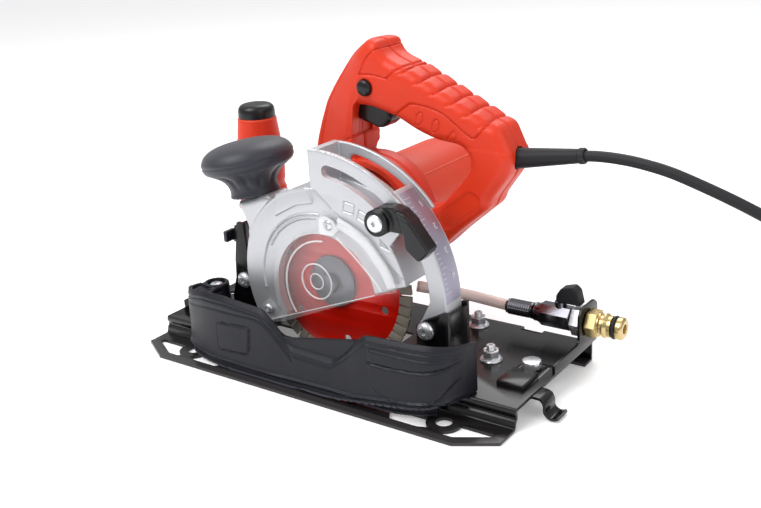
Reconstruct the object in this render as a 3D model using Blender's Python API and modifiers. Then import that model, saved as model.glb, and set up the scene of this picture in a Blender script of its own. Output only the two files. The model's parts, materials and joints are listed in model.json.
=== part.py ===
"""Wet wall chaser on a stamped steel base, modelled as an assembly of separate pieces.

Lengths are in millimetres and are scaled to metres as they enter a mesh.
X runs along the cut towards the cord, Y from the blade towards the motor, Z up.
Positions are written with Y = 0 in the blade's plane; place() then moves every piece by
BLADE_Y, because the origin sits on the sole, midway between the two flange holes.
"""
import math

import bmesh
import bpy
from mathutils import Matrix, Vector

MM = 0.001
GAP = 0.3
ROUND = 24

# Base plate
BASE_LENGTH = 300.0
SHEET = 2.0
DECK_TOP = 15.0
FLANGE_EDGE_Y = -57.0
NEAR_WALL_Y = -22.3
FAR_EDGE_Y = 87.8
CHAMFER_X = 25.6
CHAMFER_Y = 14.6
FLANGE_HOLE_X = 107.8
FLANGE_HOLE_Y = -37.4
FLANGE_HOLE_R = 5.4
BLADE_Y = -FLANGE_HOLE_Y
FLANGE_EAR_R = 11.5
DECK_STUDS = ((68.9, 73.0), (103.9, 29.0))
CLIP_SCREW = (133.0, 31.0)
SKIRT_BOSS = (-107.0, -9.0)

# Blade, guard and drive
BLADE_R = 62.5
BLADE_AXIS = (0.0, 63.5)
GUARD_R = 69.0
ARCH_R = 95.0
NEAR_WALL = (-14.0, -10.8)
FAR_WALL = (11.2, 14.2)
WINDOW_CENTRE = (2.0, 59.0)
WINDOW_SCREWS = {"upper": (11.5, 110.0), "lower": (-49.0, 39.0)}
KNOB_BASE = (-66.0, 117.0)
KNOB_LEAN = math.radians(-12.5)
GEAR_MODULE = 1.25
GEAR_TEETH = 37
PINION_TEETH = 15
CENTRE_DISTANCE = GEAR_MODULE * (GEAR_TEETH + PINION_TEETH) / 2
MOTOR_AXIS = (BLADE_AXIS[0], BLADE_AXIS[1] + CENTRE_DISTANCE)
MOTOR_R = 35.0

# Depth setting
FRONT_PIVOT = (-84.0, 49.0)
LOCK_STUD = (8.5, 80.0)
REAR_PIVOT = (81.0, 48.0)
SLOT_R = 82.8
CLAMP_ANGLE = 44.7
ARM_INNER_R = 82.6
ARM_OUTER_R = 94.4
ARM_HALF_WIDTH = 10.0

# D handle and motor casing
HANDLE_Y = 52.0
HANDLE_HALF_WIDTH = 17.0
HANDLE_WALL = 4.0
LOCK_BUTTON = (8.8, 189.9)
LOCK_BUTTON_R = 5.3
CORD_Z = 153.0
MOTOR_START_Y = 35.0
MOTOR_END_Y = 150.0

# Water fitting
WATER_Y = 80.0
WATER_Z = 32.0
VALVE_STEM_X = 130.0

COLOURS = {
    "black_steel": ((0.012, 0.011, 0.012), 0.25, 0.6),
    "zinc": ((0.62, 0.62, 0.63), 0.28, 1.0),
    "cast_aluminium": ((0.68, 0.68, 0.70), 0.42, 0.9),
    "dark_plastic": ((0.035, 0.036, 0.042), 0.55, 0.0),
    "red_plastic": ((0.72, 0.06, 0.022), 0.42, 0.0),
    "clear_plastic": ((0.85, 0.87, 0.88), 0.08, 0.0),
    "blade_red": ((0.55, 0.01, 0.005), 0.35, 0.2),
    "steel": ((0.45, 0.45, 0.46), 0.35, 1.0),
    "brass": ((0.62, 0.40, 0.12), 0.25, 1.0),
    "copper": ((0.60, 0.22, 0.09), 0.35, 1.0),
    "rubber": ((0.012, 0.012, 0.013), 0.6, 0.0),
    "hose": ((0.72, 0.60, 0.58), 0.3, 0.0),
    "carbon": ((0.03, 0.03, 0.03), 0.8, 0.0),
}

# Which axis of the drawing becomes which world axis
DRAWN_IN = {
    "XZ": Matrix(((1, 0, 0), (0, 0, -1), (0, 1, 0))),
    "XY": Matrix(((1, 0, 0), (0, 1, 0), (0, 0, 1))),
    "YZ": Matrix(((0, 0, 1), (1, 0, 0), (0, 1, 0))),
}
# Direction in which a turned piece's own +Z points
TURNED_ALONG = {
    "X": Matrix(((0, 0, 1), (0, 1, 0), (-1, 0, 0))),
    "Y": Matrix(((1, 0, 0), (0, 0, 1), (0, -1, 0))),
    "Z": Matrix(((1, 0, 0), (0, 1, 0), (0, 0, 1))),
}


def clear_scene():
    for obj in list(bpy.data.objects):
        bpy.data.objects.remove(obj, do_unlink=True)


def new_collection(name):
    group = bpy.data.collections.new(name)
    bpy.context.scene.collection.children.link(group)
    return group


def material(name, colour):
    base, roughness, metallic = COLOURS[colour]
    mat = bpy.data.materials.new(name)
    mat.use_nodes = True
    shader = mat.node_tree.nodes["Principled BSDF"]
    shader.inputs["Base Color"].default_value = (*base, 1.0)
    shader.inputs["Roughness"].default_value = roughness
    shader.inputs["Metallic"].default_value = metallic
    return mat


def place(obj, x, y, z, turn):
    """Set the object's world matrix from millimetres and a 3x3 turn."""
    spot = Vector((x, y + BLADE_Y, z)) * MM
    obj.matrix_world = Matrix.Translation(spot) @ turn.to_4x4()


def add(name, mesh, colour=None):
    """Link a mesh as a part, or as a hidden cutter where it has no colour."""
    obj = bpy.data.objects.new(name, mesh)
    if colour:
        mesh.materials.append(material(name, colour))
        PARTS.objects.link(obj)
        mesh.shade_smooth()
        mesh.set_sharp_from_angle(angle=math.radians(32))
    else:
        CUTTERS.objects.link(obj)
        obj.hide_render = True
        obj.display_type = "WIRE"
    return obj


def outline(name, loops, depth, plane="XZ", colour=None):
    """Solid from closed 2D loops, depth = (low, high) along the drawing's normal axis."""
    curve = bpy.data.curves.new(name, "CURVE")
    curve.dimensions = "2D"
    curve.fill_mode = "BOTH"
    curve.extrude = (depth[1] - depth[0]) / 2 * MM
    for loop in loops:
        spline = curve.splines.new("POLY")
        spline.points.add(len(loop) - 1)
        for point, (a, b) in zip(spline.points, loop):
            point.co = (a * MM, b * MM, 0.0, 1.0)
        spline.use_cyclic_u = True
    drawn = bpy.data.objects.new(name, curve)
    CUTTERS.objects.link(drawn)
    graph = bpy.context.evaluated_depsgraph_get()
    mesh = bpy.data.meshes.new_from_object(drawn.evaluated_get(graph))
    bpy.data.objects.remove(drawn, do_unlink=True)
    bpy.data.curves.remove(curve)
    weld(mesh)
    middle = (depth[0] + depth[1]) / 2
    spots = {"XZ": (0, middle, 0), "XY": (0, 0, middle), "YZ": (middle, 0, 0)}
    obj = add(name, mesh, colour)
    place(obj, *spots[plane], DRAWN_IN[plane])
    return obj


def weld(mesh):
    work = bmesh.new()
    work.from_mesh(mesh)
    bmesh.ops.remove_doubles(work, verts=work.verts, dist=0.00001)
    bmesh.ops.recalc_face_normals(work, faces=work.faces)
    work.to_mesh(mesh)
    work.free()


def turned(name, profile, spot, axis="Y", colour=None, steps=ROUND):
    """Solid of revolution; profile holds (radius, height) from the top down the outside."""
    mesh = bpy.data.meshes.new(name)
    points = [(r * MM, 0.0, h * MM) for r, h in profile]
    mesh.from_pydata(points, [(i, i + 1) for i in range(len(points) - 1)], [])
    obj = add(name, mesh, colour)
    screw = obj.modifiers.new("turn", "SCREW")
    screw.steps = steps
    screw.render_steps = steps
    screw.use_merge_vertices = True
    screw.merge_threshold = 0.00001
    place(obj, *spot, TURNED_ALONG[axis])
    return obj


def rod(name, radius, low, high, spot, axis="Y", colour=None, steps=ROUND):
    return turned(name, [(0, high), (radius, high), (radius, low), (0, low)], spot, axis, colour, steps)


def ring(name, inner, outer, low, high, spot, axis="Y", colour=None, steps=ROUND):
    profile = [(inner, high), (outer, high), (outer, low), (inner, low), (inner, high)]
    return turned(name, profile, spot, axis, colour, steps)


def box(name, xs, ys, zs, colour=None, bevel=0.0, segments=2):
    work = bmesh.new()
    bmesh.ops.create_cube(work, size=1.0)
    size = Vector((xs[1] - xs[0], ys[1] - ys[0], zs[1] - zs[0])) * MM
    bmesh.ops.scale(work, vec=size, verts=work.verts)
    mesh = bpy.data.meshes.new(name)
    work.to_mesh(mesh)
    work.free()
    obj = add(name, mesh, colour)
    place(obj, sum(xs) / 2, sum(ys) / 2, sum(zs) / 2, Matrix.Identity(3))
    if bevel:
        round_edges(obj, bevel, segments)
    return obj


def tube(name, points, radius, colour):
    """Round bar along a path of (x, y, z) points."""
    curve = bpy.data.curves.new(name, "CURVE")
    curve.dimensions = "3D"
    curve.bevel_depth = radius * MM
    curve.bevel_resolution = 2
    curve.use_fill_caps = True
    spline = curve.splines.new("POLY")
    spline.points.add(len(points) - 1)
    for point, spot in zip(spline.points, points):
        point.co = (*(Vector(spot) * MM), 1.0)
    curve.materials.append(material(name, colour))
    obj = bpy.data.objects.new(name, curve)
    PARTS.objects.link(obj)
    place(obj, 0, 0, 0, Matrix.Identity(3))
    return obj


def lofted(name, first, last):
    """Closed solid between two XZ loops with as many points each; both are (loop, depth) pairs."""
    work = bmesh.new()
    ends = []
    for loop, depth in (first, last):
        ends.append([work.verts.new(Vector((x, depth, z)) * MM) for x, z in loop])
    work.faces.new(ends[0])
    work.faces.new(ends[1])
    count = len(ends[0])
    for i in range(count):
        j = (i + 1) % count
        work.faces.new((ends[0][i], ends[0][j], ends[1][j], ends[1][i]))
    bmesh.ops.triangulate(work, faces=work.faces)
    bmesh.ops.recalc_face_normals(work, faces=work.faces)
    mesh = bpy.data.meshes.new(name)
    work.to_mesh(mesh)
    work.free()
    obj = add(name, mesh)
    place(obj, 0, 0, 0, Matrix.Identity(3))
    return obj


def round_edges(obj, width, segments=2, angle=40):
    bevel = obj.modifiers.new("round", "BEVEL")
    bevel.width = width * MM
    bevel.segments = segments
    bevel.limit_method = "ANGLE"
    bevel.angle_limit = math.radians(angle)


def boolean(obj, other, operation):
    step = obj.modifiers.new(other.name, "BOOLEAN")
    step.operation = operation
    step.solver = "EXACT"
    step.object = other


def cut(obj, *cutters):
    for cutter in cutters:
        boolean(obj, cutter, "DIFFERENCE")


def join(obj, *pieces):
    for piece in pieces:
        boolean(obj, piece, "UNION")


def polar(centre, radius, degrees):
    angle = math.radians(degrees)
    return (centre[0] + radius * math.cos(angle), centre[1] + radius * math.sin(angle))


def arc(centre, radius, start, end, count):
    step = (end - start) / (count - 1)
    return [polar(centre, radius, start + step * i) for i in range(count)]


def circle(centre, radius, count=ROUND):
    return arc(centre, radius, 0, 360 - 360 / count, count)


def hexagon(centre, across_flats):
    return circle(centre, across_flats / math.sqrt(3), 6)


def arc_slot(centre, radius, half_width, start, end, count=8):
    """Curved slot with round ends, from the start angle up to the end angle."""
    first = polar(centre, radius, start)
    last = polar(centre, radius, end)
    loop = arc(centre, radius + half_width, start, end, count)
    loop += arc(last, half_width, end, end + 180, 5)[1:]
    loop += arc(centre, radius - half_width, end, start, count)[1:]
    loop += arc(first, half_width, start + 180, start + 360, 5)[1:-1]
    return loop


def at(axis, y):
    """Point on a cross axis (x, z) at depth y."""
    return (axis[0], y, axis[1])


def pivot(name, spot):
    empty = bpy.data.objects.new(name, None)
    PARTS.objects.link(empty)
    place(empty, *spot, Matrix.Identity(3))
    return empty


def hang(parent, *children):
    """Parent the pieces to an empty without moving them."""
    for child in children:
        child.parent = parent
        child.matrix_parent_inverse = parent.matrix_world.inverted()


# ---------------------------------------------------------------- base


def base_plate():
    half = BASE_LENGTH / 2
    inner_wall = NEAR_WALL_Y + SHEET
    far_inner = FAR_EDGE_Y - SHEET
    under = DECK_TOP - SHEET
    section = [
        (FLANGE_EDGE_Y, 0), (inner_wall, 0), (inner_wall, under), (far_inner, under),
        (far_inner, SHEET), (far_inner - 10, SHEET), (far_inner - 10, 0), (FAR_EDGE_Y, 0),
        (FAR_EDGE_Y, DECK_TOP), (NEAR_WALL_Y, DECK_TOP), (NEAR_WALL_Y, SHEET), (FLANGE_EDGE_Y, SHEET),
    ]
    plate = outline("base_plate", [section], (-half, half), "YZ", "black_steel")
    tall_tab = [
        (30, under + 0.5), (95, under + 0.5), (95, 41), (90, 45), (71, 45), (67, 40), (67, 21), (30, 21),
    ]
    join(plate, outline("upturned_tab", [tall_tab], (half - SHEET, half), "YZ"))
    hook = [
        (half - 4, under), (half + 5, under), (half + 8, 10), (half + 8.5, 4), (half + 12, 1),
        (half + 17, 1), (half + 17, 3), (half + 12.6, 3), (half + 10.4, 5), (half + 10, 11),
        (half + 6, DECK_TOP), (half - 4, DECK_TOP),
    ]
    join(plate, outline("rear_hook", [hook], (-2, 12), "XZ"))
    cut(plate, *corner_cutters(half), *flange_cutters())
    cut(plate, deck_cutter(), box("clip_window", (123.5, 143.5), (-1, 40), (10, 18)))
    cut(plate, rod("sight_hole", 3.0, 10, 18, (-137.5, 36, 0), "Z", steps=16))
    for x, y in DECK_STUDS:
        join(plate, rod("weld_stud", 3.0, DECK_TOP - 1, DECK_TOP + 11, (x, y, 0), "Z", steps=16))
    cut(plate, rod("valve_hole", 7.0, half - 5, half + 3, (0, WATER_Y, WATER_Z), "X"))


def corner_cutters(half):
    reach = 6.0
    slope = CHAMFER_Y / CHAMFER_X
    for side in (-1, 1):
        corner = [
            (side * (half + reach), FLANGE_EDGE_Y + CHAMFER_Y + reach * slope),
            (side * (half - CHAMFER_X - reach), FLANGE_EDGE_Y - reach * slope),
            (side * (half + reach), FLANGE_EDGE_Y - reach * slope),
        ]
        yield outline("corner_cut", [corner], (-2, 5), "XY")


def flange_cutters():
    """Two weight-saving windows each side of a flange hole, with the hole's ear between them."""
    low, high = FLANGE_EDGE_Y + 4.0, -38.0
    for side in (-1, 1):
        hole = (side * FLANGE_HOLE_X, FLANGE_HOLE_Y)
        turn = 0 if side > 0 else 180
        outer_arc = arc(hole, FLANGE_EAR_R, turn - side * 3, turn - side * 77, 6)
        inner_arc = arc(hole, FLANGE_EAR_R, turn - side * 103, turn - side * 177, 6)
        outer = outer_arc + [(outer_arc[-1][0], low), (side * 117, low), (side * 135, high)]
        inner = inner_arc + [(side * 68, high), (side * 76, low), (inner_arc[0][0], low)]
        yield outline("outer_window", [outer], (-2, 5), "XY")
        yield outline("inner_window", [inner], (-2, 5), "XY")
        yield rod("flange_hole", FLANGE_HOLE_R, -2, 5, (*hole, 0), "Z", steps=24)


def deck_cutter():
    """Opening for the blade, widened under the gear case."""
    opening = [(-64, -7), (64, -7), (64, 7), (36, 7), (36, 40), (-36, 40), (-36, 7), (-64, 7)]
    return outline("deck_opening", [opening], (10, 18), "XY")


def splash_skirt():
    """Moulded wall on the near side; its ends step up over the edge of the deck."""
    wall = 2.6
    foot, deck = SHEET + GAP, DECK_TOP + 0.7
    path = [
        (-118.6, -13.5, deck, 44), (-118.3, -22.8, deck, 45), (-118.2, -23.3, foot, 45), (-117, -27.5, foot, 45),
        (-108, -36, foot, 46), (-88, -43.5, foot, 50), (-64, -47, foot, 53), (-30, -47, foot, 53),
        (-5, -47, foot, 29), (29, -47, foot, 27.5), (54, -47, foot, 49), (96, -46, foot, 50.5),
        (110, -39, foot, 49), (117, -28, foot, 47), (118.2, -23.3, foot, 47), (118.3, -22.8, deck, 47),
        (118.6, -13.5, deck, 46),
    ]
    mesh = bpy.data.meshes.new("splash_skirt")
    points, faces = [], []
    for x, y, low, top in path:
        spread = 3.0 * max(0.0, min(1.0, (-y - 27.5) / 12))
        points.append((x * MM, (y - spread) * MM, low * MM))
        points.append((x * MM, y * MM, top * MM))
    for i in range(len(path) - 1):
        a = 2 * i
        faces.append((a, a + 2, a + 3, a + 1))
    mesh.from_pydata(points, [], faces)
    skirt = add("splash_skirt", mesh, "dark_plastic")
    place(skirt, 0, 0, 0, Matrix.Identity(3))
    shell = skirt.modifiers.new("wall", "SOLIDIFY")
    shell.thickness = wall * MM
    shell.offset = -1.0
    ear = [(-117.2, -15), (-101, -11), (-101, -39.3), (-108.5, -34.5), (-116, -28)]
    join(skirt, outline("skirt_ear", [ear], (37, 42), "XY"))
    join(skirt, rod("skirt_boss", 9.6, DECK_TOP + GAP, 46, (*SKIRT_BOSS, 0), "Z"))
    bore = [(0, 50), (6.8, 50), (6.8, 42.5), (3.4, 42.5), (3.4, 10), (0, 10)]
    cut(skirt, turned("boss_bore", bore, (*SKIRT_BOSS, 0), "Z", steps=20))
    profile = [(0, 45.2), (3.6, 45.0), (5.6, 43.6), (5.6, 42.8), (3.0, 42.8), (3.0, 15.8), (0, 15.8)]
    turned("skirt_screw", profile, (*SKIRT_BOSS, 0), "Z", "zinc", 16)


def front_bracket():
    foot = DECK_TOP + GAP
    cheek = [
        (-98, foot), (-72, foot), (-73, 40), (-76, 55), (-79.5, 70), (-81, 93), (-87, 93),
        (-92, 64), (-93, 50), (-98, 34),
    ]
    bracket = outline("front_bracket", [cheek], (-1.6, 1.4), "XZ", "black_steel")
    far = [(-98, foot), (-72, foot), (-73, 40), (-76, 55), (-92, 58), (-98, 34)]
    join(bracket, outline("front_far_cheek", [far], (17.4, 20.4), "XZ"))
    join(bracket, box("front_foot", (-97.5, -72.8), (-1.0, 20.0), (foot + 0.2, foot + 3)))
    join(bracket, box("front_web", (-97.0, -94.2), (-1.2, 20.2), (foot + 1, 33)))
    cut(bracket, rod("front_pivot_bore", 4.4, -6, 26, at(FRONT_PIVOT, 0)))
    button_pin("front_pivot_pin", FRONT_PIVOT, 4.0, -1.9, 20.7, 6.2)
    join(bracket, box("front_tongue", (-90, -87.6), (-1.2, 17), (58.6, 90)))
    lock = (0, *LOCK_STUD)
    join(bracket, rod("lock_stud", 3.0, -99, -88, lock, "X", steps=16))
    nut = ring("lock_wing_nut", 3.3, 6.5, -97, -90.3, lock, "X", "dark_plastic", 16)
    for side in (-1, 1):
        y = LOCK_STUD[0] + side * 10
        join(nut, box("lock_wing", (-96.5, -93.5), (y - 5, y + 5), (78, 86)))
    return nut


def button_pin(name, axis, radius, near, far, head):
    """Pivot screw along Y with a domed head at the near end and a low nut end at the far one."""
    profile = [
        (0, far + 3), (head, far + 3), (head, far), (radius, far), (radius, near),
        (head, near), (head, near - 0.8), (head * 0.8, near - 2.6), (head * 0.45, near - 3.4), (0, near - 3.6),
    ]
    pin = turned(name, profile, at(axis, 0), "Y", "zinc", 16)
    socket = outline(name + "_socket", [hexagon(axis, head * 0.62)], (near - 6, near - 1.6), "XZ")
    cut(pin, socket)


def rear_clevis():
    foot = DECK_TOP + GAP
    cheek = [(73.5, foot), (97.8, foot), (97.8, 63), (94, 62.5), (76, 53), (73.5, 50)]
    clevis = outline("rear_clevis", [cheek], (-13.0, -10.4), "XZ", "black_steel")
    join(clevis, outline("clevis_far_cheek", [cheek], (10.4, 13.0), "XZ"))
    join(clevis, box("clevis_web", (95.4, 97.5), (-12.7, 12.7), (foot + 1, 60)))
    join(clevis, box("clevis_foot", (73.9, 97.3), (-12.5, 12.5), (foot + 0.2, foot + 3)))
    cut(clevis, rod("clevis_bore", 3.4, -20, 20, at(REAR_PIVOT, 0)))
    button_pin("clevis_pin", REAR_PIVOT, 3.0, -13.3, 13.3, 6.4)


def deck_nuts():
    """Flanged hex nuts on the deck's two weld studs."""
    low = DECK_TOP + GAP
    for tag, (x, y) in zip("ab", DECK_STUDS):
        loops = [hexagon((x, y), 10.0), circle((x, y), 3.3, 16)]
        nut = outline("deck_nut_" + tag, loops, (low + 1.0, low + 7.5), "XY", "zinc")
        join(nut, ring("nut_flange", 3.3, 7.6, low, low + 1.6, (x, y, 0), "Z", steps=16))


def rail_clip():
    clip = box("rail_clip", (124, 143), (-0.5, 21.5), (13.3, 18.5), "black_steel", 0.8)
    tail = box("clip_tail", (126, 141), (20, 38.5), (13.3, 15.2))
    join(clip, tail)
    cut(clip, rod("clip_bore", 2.4, 8, 20, (*CLIP_SCREW, 0), "Z", steps=20))
    knurl = [polar(CLIP_SCREW, 6.4 if i % 2 else 5.9, i * 15) for i in range(24)]
    screw = outline("clip_screw", [knurl], (15.6, 20.6), "XY", "zinc")
    join(screw, rod("clip_screw_shank", 2.1, 5, 16.5, (*CLIP_SCREW, 0), "Z", steps=20))
    return screw


def water_fitting():
    spot = (0, WATER_Y, WATER_Z)
    end = BASE_LENGTH / 2
    body = turned("valve_body", [
        (0, end + 7), (6.0, end + 7), (6.0, end - 11), (7.5, end - 11.6), (7.5, 121), (6.4, 119.5),
        (6.4, 114), (3.0, 113.6), (3.0, 98), (0, 98),
    ], spot, "X", "zinc", 16)
    join(body, box("valve_block", (121, end - 12), (WATER_Y - 7.6, WATER_Y + 7.6), (24.5, 39.5)))
    join(body, rod("valve_neck", 4.0, 38, 43, (VALVE_STEM_X, WATER_Y, 0), "Z", steps=20))
    lever = outline("valve_lever", [[
        (117, 43.4), (134.5, 43.4), (137, 45), (141, 50), (142.5, 57), (140, 58), (130, 51), (121, 49), (117, 46.5),
    ]], (WATER_Y - 5.2, WATER_Y + 5.2), "XZ", "rubber")
    round_edges(lever, 0.8, 1)
    loops = [hexagon((WATER_Y, WATER_Z), 19.0), circle((WATER_Y, WATER_Z), 6.3, 24)]
    outline("valve_nut", loops, (end - 10, end - SHEET - GAP), "YZ", "zinc")
    turned("quick_connector", [
        (6.3, end + 8), (3.2, end + 8), (3.2, end + 26), (6.2, end + 26), (7.6, end + 24.5), (7.6, end + 21.4),
        (6.0, end + 21.0), (6.0, end + 18.2), (7.6, end + 17.8), (8.5, end + 13), (6.8, end + 12.4),
        (6.8, end + 9.6), (9.0, end + 9.0), (9.0, end + GAP), (6.3, end + GAP), (6.3, end + 8),
    ], spot, "X", "brass", 20)
    ring("connector_o_ring", 6.2, 7.9, end + 18.4, end + 20.8, spot, "X", "rubber", 20)
    ring("hose_ferrule", 4.4, 5.8, 93, 113.3, spot, "X", "steel", 24)
    hose_path = [(97.6, 80, 32), (90, 80, 32.4), (80, 80, 33.4), (68, 79.5, 33.6), (58, 77.5, 31.5), (50, 74, 28)]
    tube("water_hose", hose_path, 4.0, "hose")
    return lever


# ---------------------------------------------------------------- depth arm and clamp


def depth_arm():
    foot = REAR_PIVOT
    clamp = polar(BLADE_AXIS, SLOT_R, CLAMP_ANGLE)
    edge = arc(BLADE_AXIS, ARM_OUTER_R, -3, 51, 12)
    edge += arc(BLADE_AXIS, ARM_INNER_R, 51, 50, 2)
    edge += arc(clamp, 6.5, 150, 300, 7)
    edge += arc(BLADE_AXIS, ARM_INNER_R, 40, 2, 9)
    edge += arc(foot, 7.0, 150, 345, 9)
    holes = [circle(foot, 3.4, 24), circle(clamp, 3.4, 24)]
    arm = outline("depth_quadrant", [edge] + holes, (-ARM_HALF_WIDTH, ARM_HALF_WIDTH), "XZ", "cast_aluminium")
    stud = turned("clamp_screw", [
        (0, ARM_HALF_WIDTH - 0.6), (3.0, ARM_HALF_WIDTH - 0.6), (3.0, -29.3), (5.8, -29.3), (5.8, -31.0),
        (5.0, -31.8), (0, -31.8),
    ], at(clamp, 0), "Y", "zinc")
    cut(stud, outline("cap_socket", [hexagon(clamp, 3.4)], (-34, -30.6), "XZ"))
    cx, cz = clamp
    hub = circle(clamp, 8.6)
    lever = outline("depth_lever", [hub, circle(clamp, 3.3, 24)], (-29.0, -14.4), "XZ", "dark_plastic")
    wing = [
        (cx + 1, cz + 8.2), (cx + 14, cz + 10.0), (cx + 23, cz + 3.0), (cx + 36, cz - 13.0), (cx + 28, cz - 21.0),
        (cx + 19, cz - 14), (cx + 17, cz - 8), (cx + 4.8, cz - 3.4), (cx + 4.8, cz + 3.4),
    ]
    join(lever, outline("lever_wing", [wing], (-26.5, -16.0), "XZ"))
    return arm, stud, lever


# ---------------------------------------------------------------- guard and window


def guard_wall(depth, name, colour=None):
    """Side wall of the guard: blade cover, step to the arch, and the sloping lower edge."""
    loop = arc(BLADE_AXIS, GUARD_R, 213.5, 92.5, 15)
    loop += arc(BLADE_AXIS, ARCH_R, 92.2, 38.5, 9)
    loop += arc(BLADE_AXIS, GUARD_R, 34, 10, 4)
    return outline(name, [loop], depth, "XZ", colour)


def window_opening():
    return arc(WINDOW_CENTRE, 42.0, 210, 20, 14) + [(43.5, 66), (46, 55), (-36, 22)]


def blade_guard():
    guard = guard_wall(NEAR_WALL, "blade_guard", "cast_aluminium")
    slot = arc_slot(BLADE_AXIS, SLOT_R - 0.3, 4.4, CLAMP_ANGLE - 1, 82.0)
    cut(guard, outline("clamp_slot", [slot], (-18, -6), "XZ"))
    cut(guard, outline("window_cut", [window_opening()], (-18, -6), "XZ"))
    for spot in WINDOW_SCREWS.values():
        cut(guard, rod("screw_hole", 1.9, -20, -5, at(spot, 0), steps=16))
    far = guard_wall(FAR_WALL, "guard_far_wall")
    cut(far, outline("arch_opening", [arc_slot(BLADE_AXIS, 83.5, 4.8, 53, 80)], (8, 18), "XZ"))
    cut(far, rod("spindle_opening", 20.0, 8, 18, at(BLADE_AXIS, 0)))
    join(guard, far)
    rim = arc(BLADE_AXIS, GUARD_R - GAP, 213, 10.5, 24) + arc(BLADE_AXIS, GUARD_R - 3.2, 10.5, 213, 24)
    join(guard, outline("guard_rim", [rim], (NEAR_WALL[0] + 1, FAR_WALL[1] - 1), "XZ"))
    bridge = arc(BLADE_AXIS, ARCH_R - GAP / 2, 92, 89.2, 3) + arc(BLADE_AXIS, GUARD_R - 1, 89.2, 92, 3)
    join(guard, outline("arch_bridge", [bridge], (NEAR_WALL[0] + 1, FAR_WALL[1] - 1), "XZ"))
    join(guard, hinge_lug(), knob_neck())
    return guard


def hinge_lug():
    lug = arc(FRONT_PIVOT, 8.5, 100, 260, 9) + [(-66, 46), (-66, 60)]
    return outline("hinge_lug", [lug, circle(FRONT_PIVOT, 4.4, 24)], (1.9, 13.8), "XZ")


def knob_neck():
    """Cast neck under the front knob; its underside follows the guard's rim."""
    neck = [(-82.8, 111.6), (-47, 121.8)] + arc(BLADE_AXIS, GUARD_R - 1.5, 126, 166, 8) + [(-74, 80)]
    piece = outline("knob_neck", [neck], (-11, 12), "XZ")
    bore = rod("knob_bore", 3.3, -16, 5, (0, 0, 0), "Z", steps=20)
    stand_knob(bore)
    cut(piece, bore)
    return piece


def stand_knob(obj):
    place(obj, KNOB_BASE[0], 0, KNOB_BASE[1], Matrix.Rotation(KNOB_LEAN, 3, "Y"))


def front_knob():
    """Mushroom grip with its own threaded stud, leaning forward on the guard's neck."""
    profile = [
        (0, 39), (10, 38.6), (22, 36.3), (31, 32), (34.6, 27.2), (34.9, 24.4), (33.6, 22.0), (27, 19),
        (20, 14), (18, 8), (19.5, 0.6), (0, 0.6),
    ]
    knob = turned("knob", profile, (0, 0, 0), "Z", "dark_plastic", 28)
    stand_knob(knob)
    stud = rod("knob_stud", 3.0, -15, 3, (0, 0, 0), "Z", steps=16)
    stand_knob(stud)
    join(knob, stud)
    return knob


def guard_window():
    """Clear cover over the blade with an ear for each of its screws."""
    depth = (-16.9, NEAR_WALL[0] - GAP)
    window = outline("guard_window", [arc(WINDOW_CENTRE, 44.0, 214, 10, 15)], depth, "XZ", "clear_plastic")
    ears = {
        "upper": [(4, 98), (17, 97), (21, 108), (12, 116), (2, 113)],
        "lower": [(-55, 43), (-47, 47), (-36, 48), (-33, 36), (-50, 28.6)],
    }
    parts = [window]
    for tag in WINDOW_SCREWS:
        join(window, outline("window_ear", [ears[tag]], depth, "XZ"))
    for tag, spot in WINDOW_SCREWS.items():
        cut(window, rod("window_hole", 1.9, -20, -10, at(spot, 0), steps=16))
        profile = [(0, -11.2), (1.5, -11.2), (1.5, -17.2), (3.4, -17.2), (3.4, -17.9), (2.2, -19.2), (0, -19.4)]
        parts.append(turned("window_screw_" + tag, profile, at(spot, 0), "Y", "zinc", 16))
    return parts


# ---------------------------------------------------------------- drive train


def toothed_wheel(name, centre, teeth, phase, bore, depth, colour):
    """Spur gear with straight-flanked teeth; phase is the angle of one tooth's middle."""
    pitch_r = GEAR_MODULE * teeth / 2
    rings = ((pitch_r - 1.5, 1.15), (pitch_r + 1.05, 0.42))
    loop = []
    for i in range(teeth):
        middle = phase + 360 / teeth * i
        flank = [(r, math.degrees(half / r)) for r, half in rings]
        loop += [polar(centre, r, middle - turn) for r, turn in flank]
        loop += [polar(centre, r, middle + turn) for r, turn in reversed(flank)]
    return outline(name, [loop, circle(centre, bore, 24)], depth, "XZ", colour)


def blade():
    """Diamond disc with a segmented rim."""
    segments = 18
    step = 360 / segments
    loop = []
    for i in range(segments):
        start = i * step
        loop += arc(BLADE_AXIS, BLADE_R, start + 1.0, start + step - 1.0, 3)
        loop += [polar(BLADE_AXIS, BLADE_R - 8.5, start + step - 1.0)]
        loop += [polar(BLADE_AXIS, BLADE_R - 8.5, start + step + 1.0)]
    holes = [circle(BLADE_AXIS, 10.4, 24)]
    holes += [circle(polar(BLADE_AXIS, 43.0, 60 * i - 20), 3.0, 8) for i in range(6)]
    return outline("blade", [loop] + holes, (-1.1, 1.1), "XZ", "blade_red")


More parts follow.
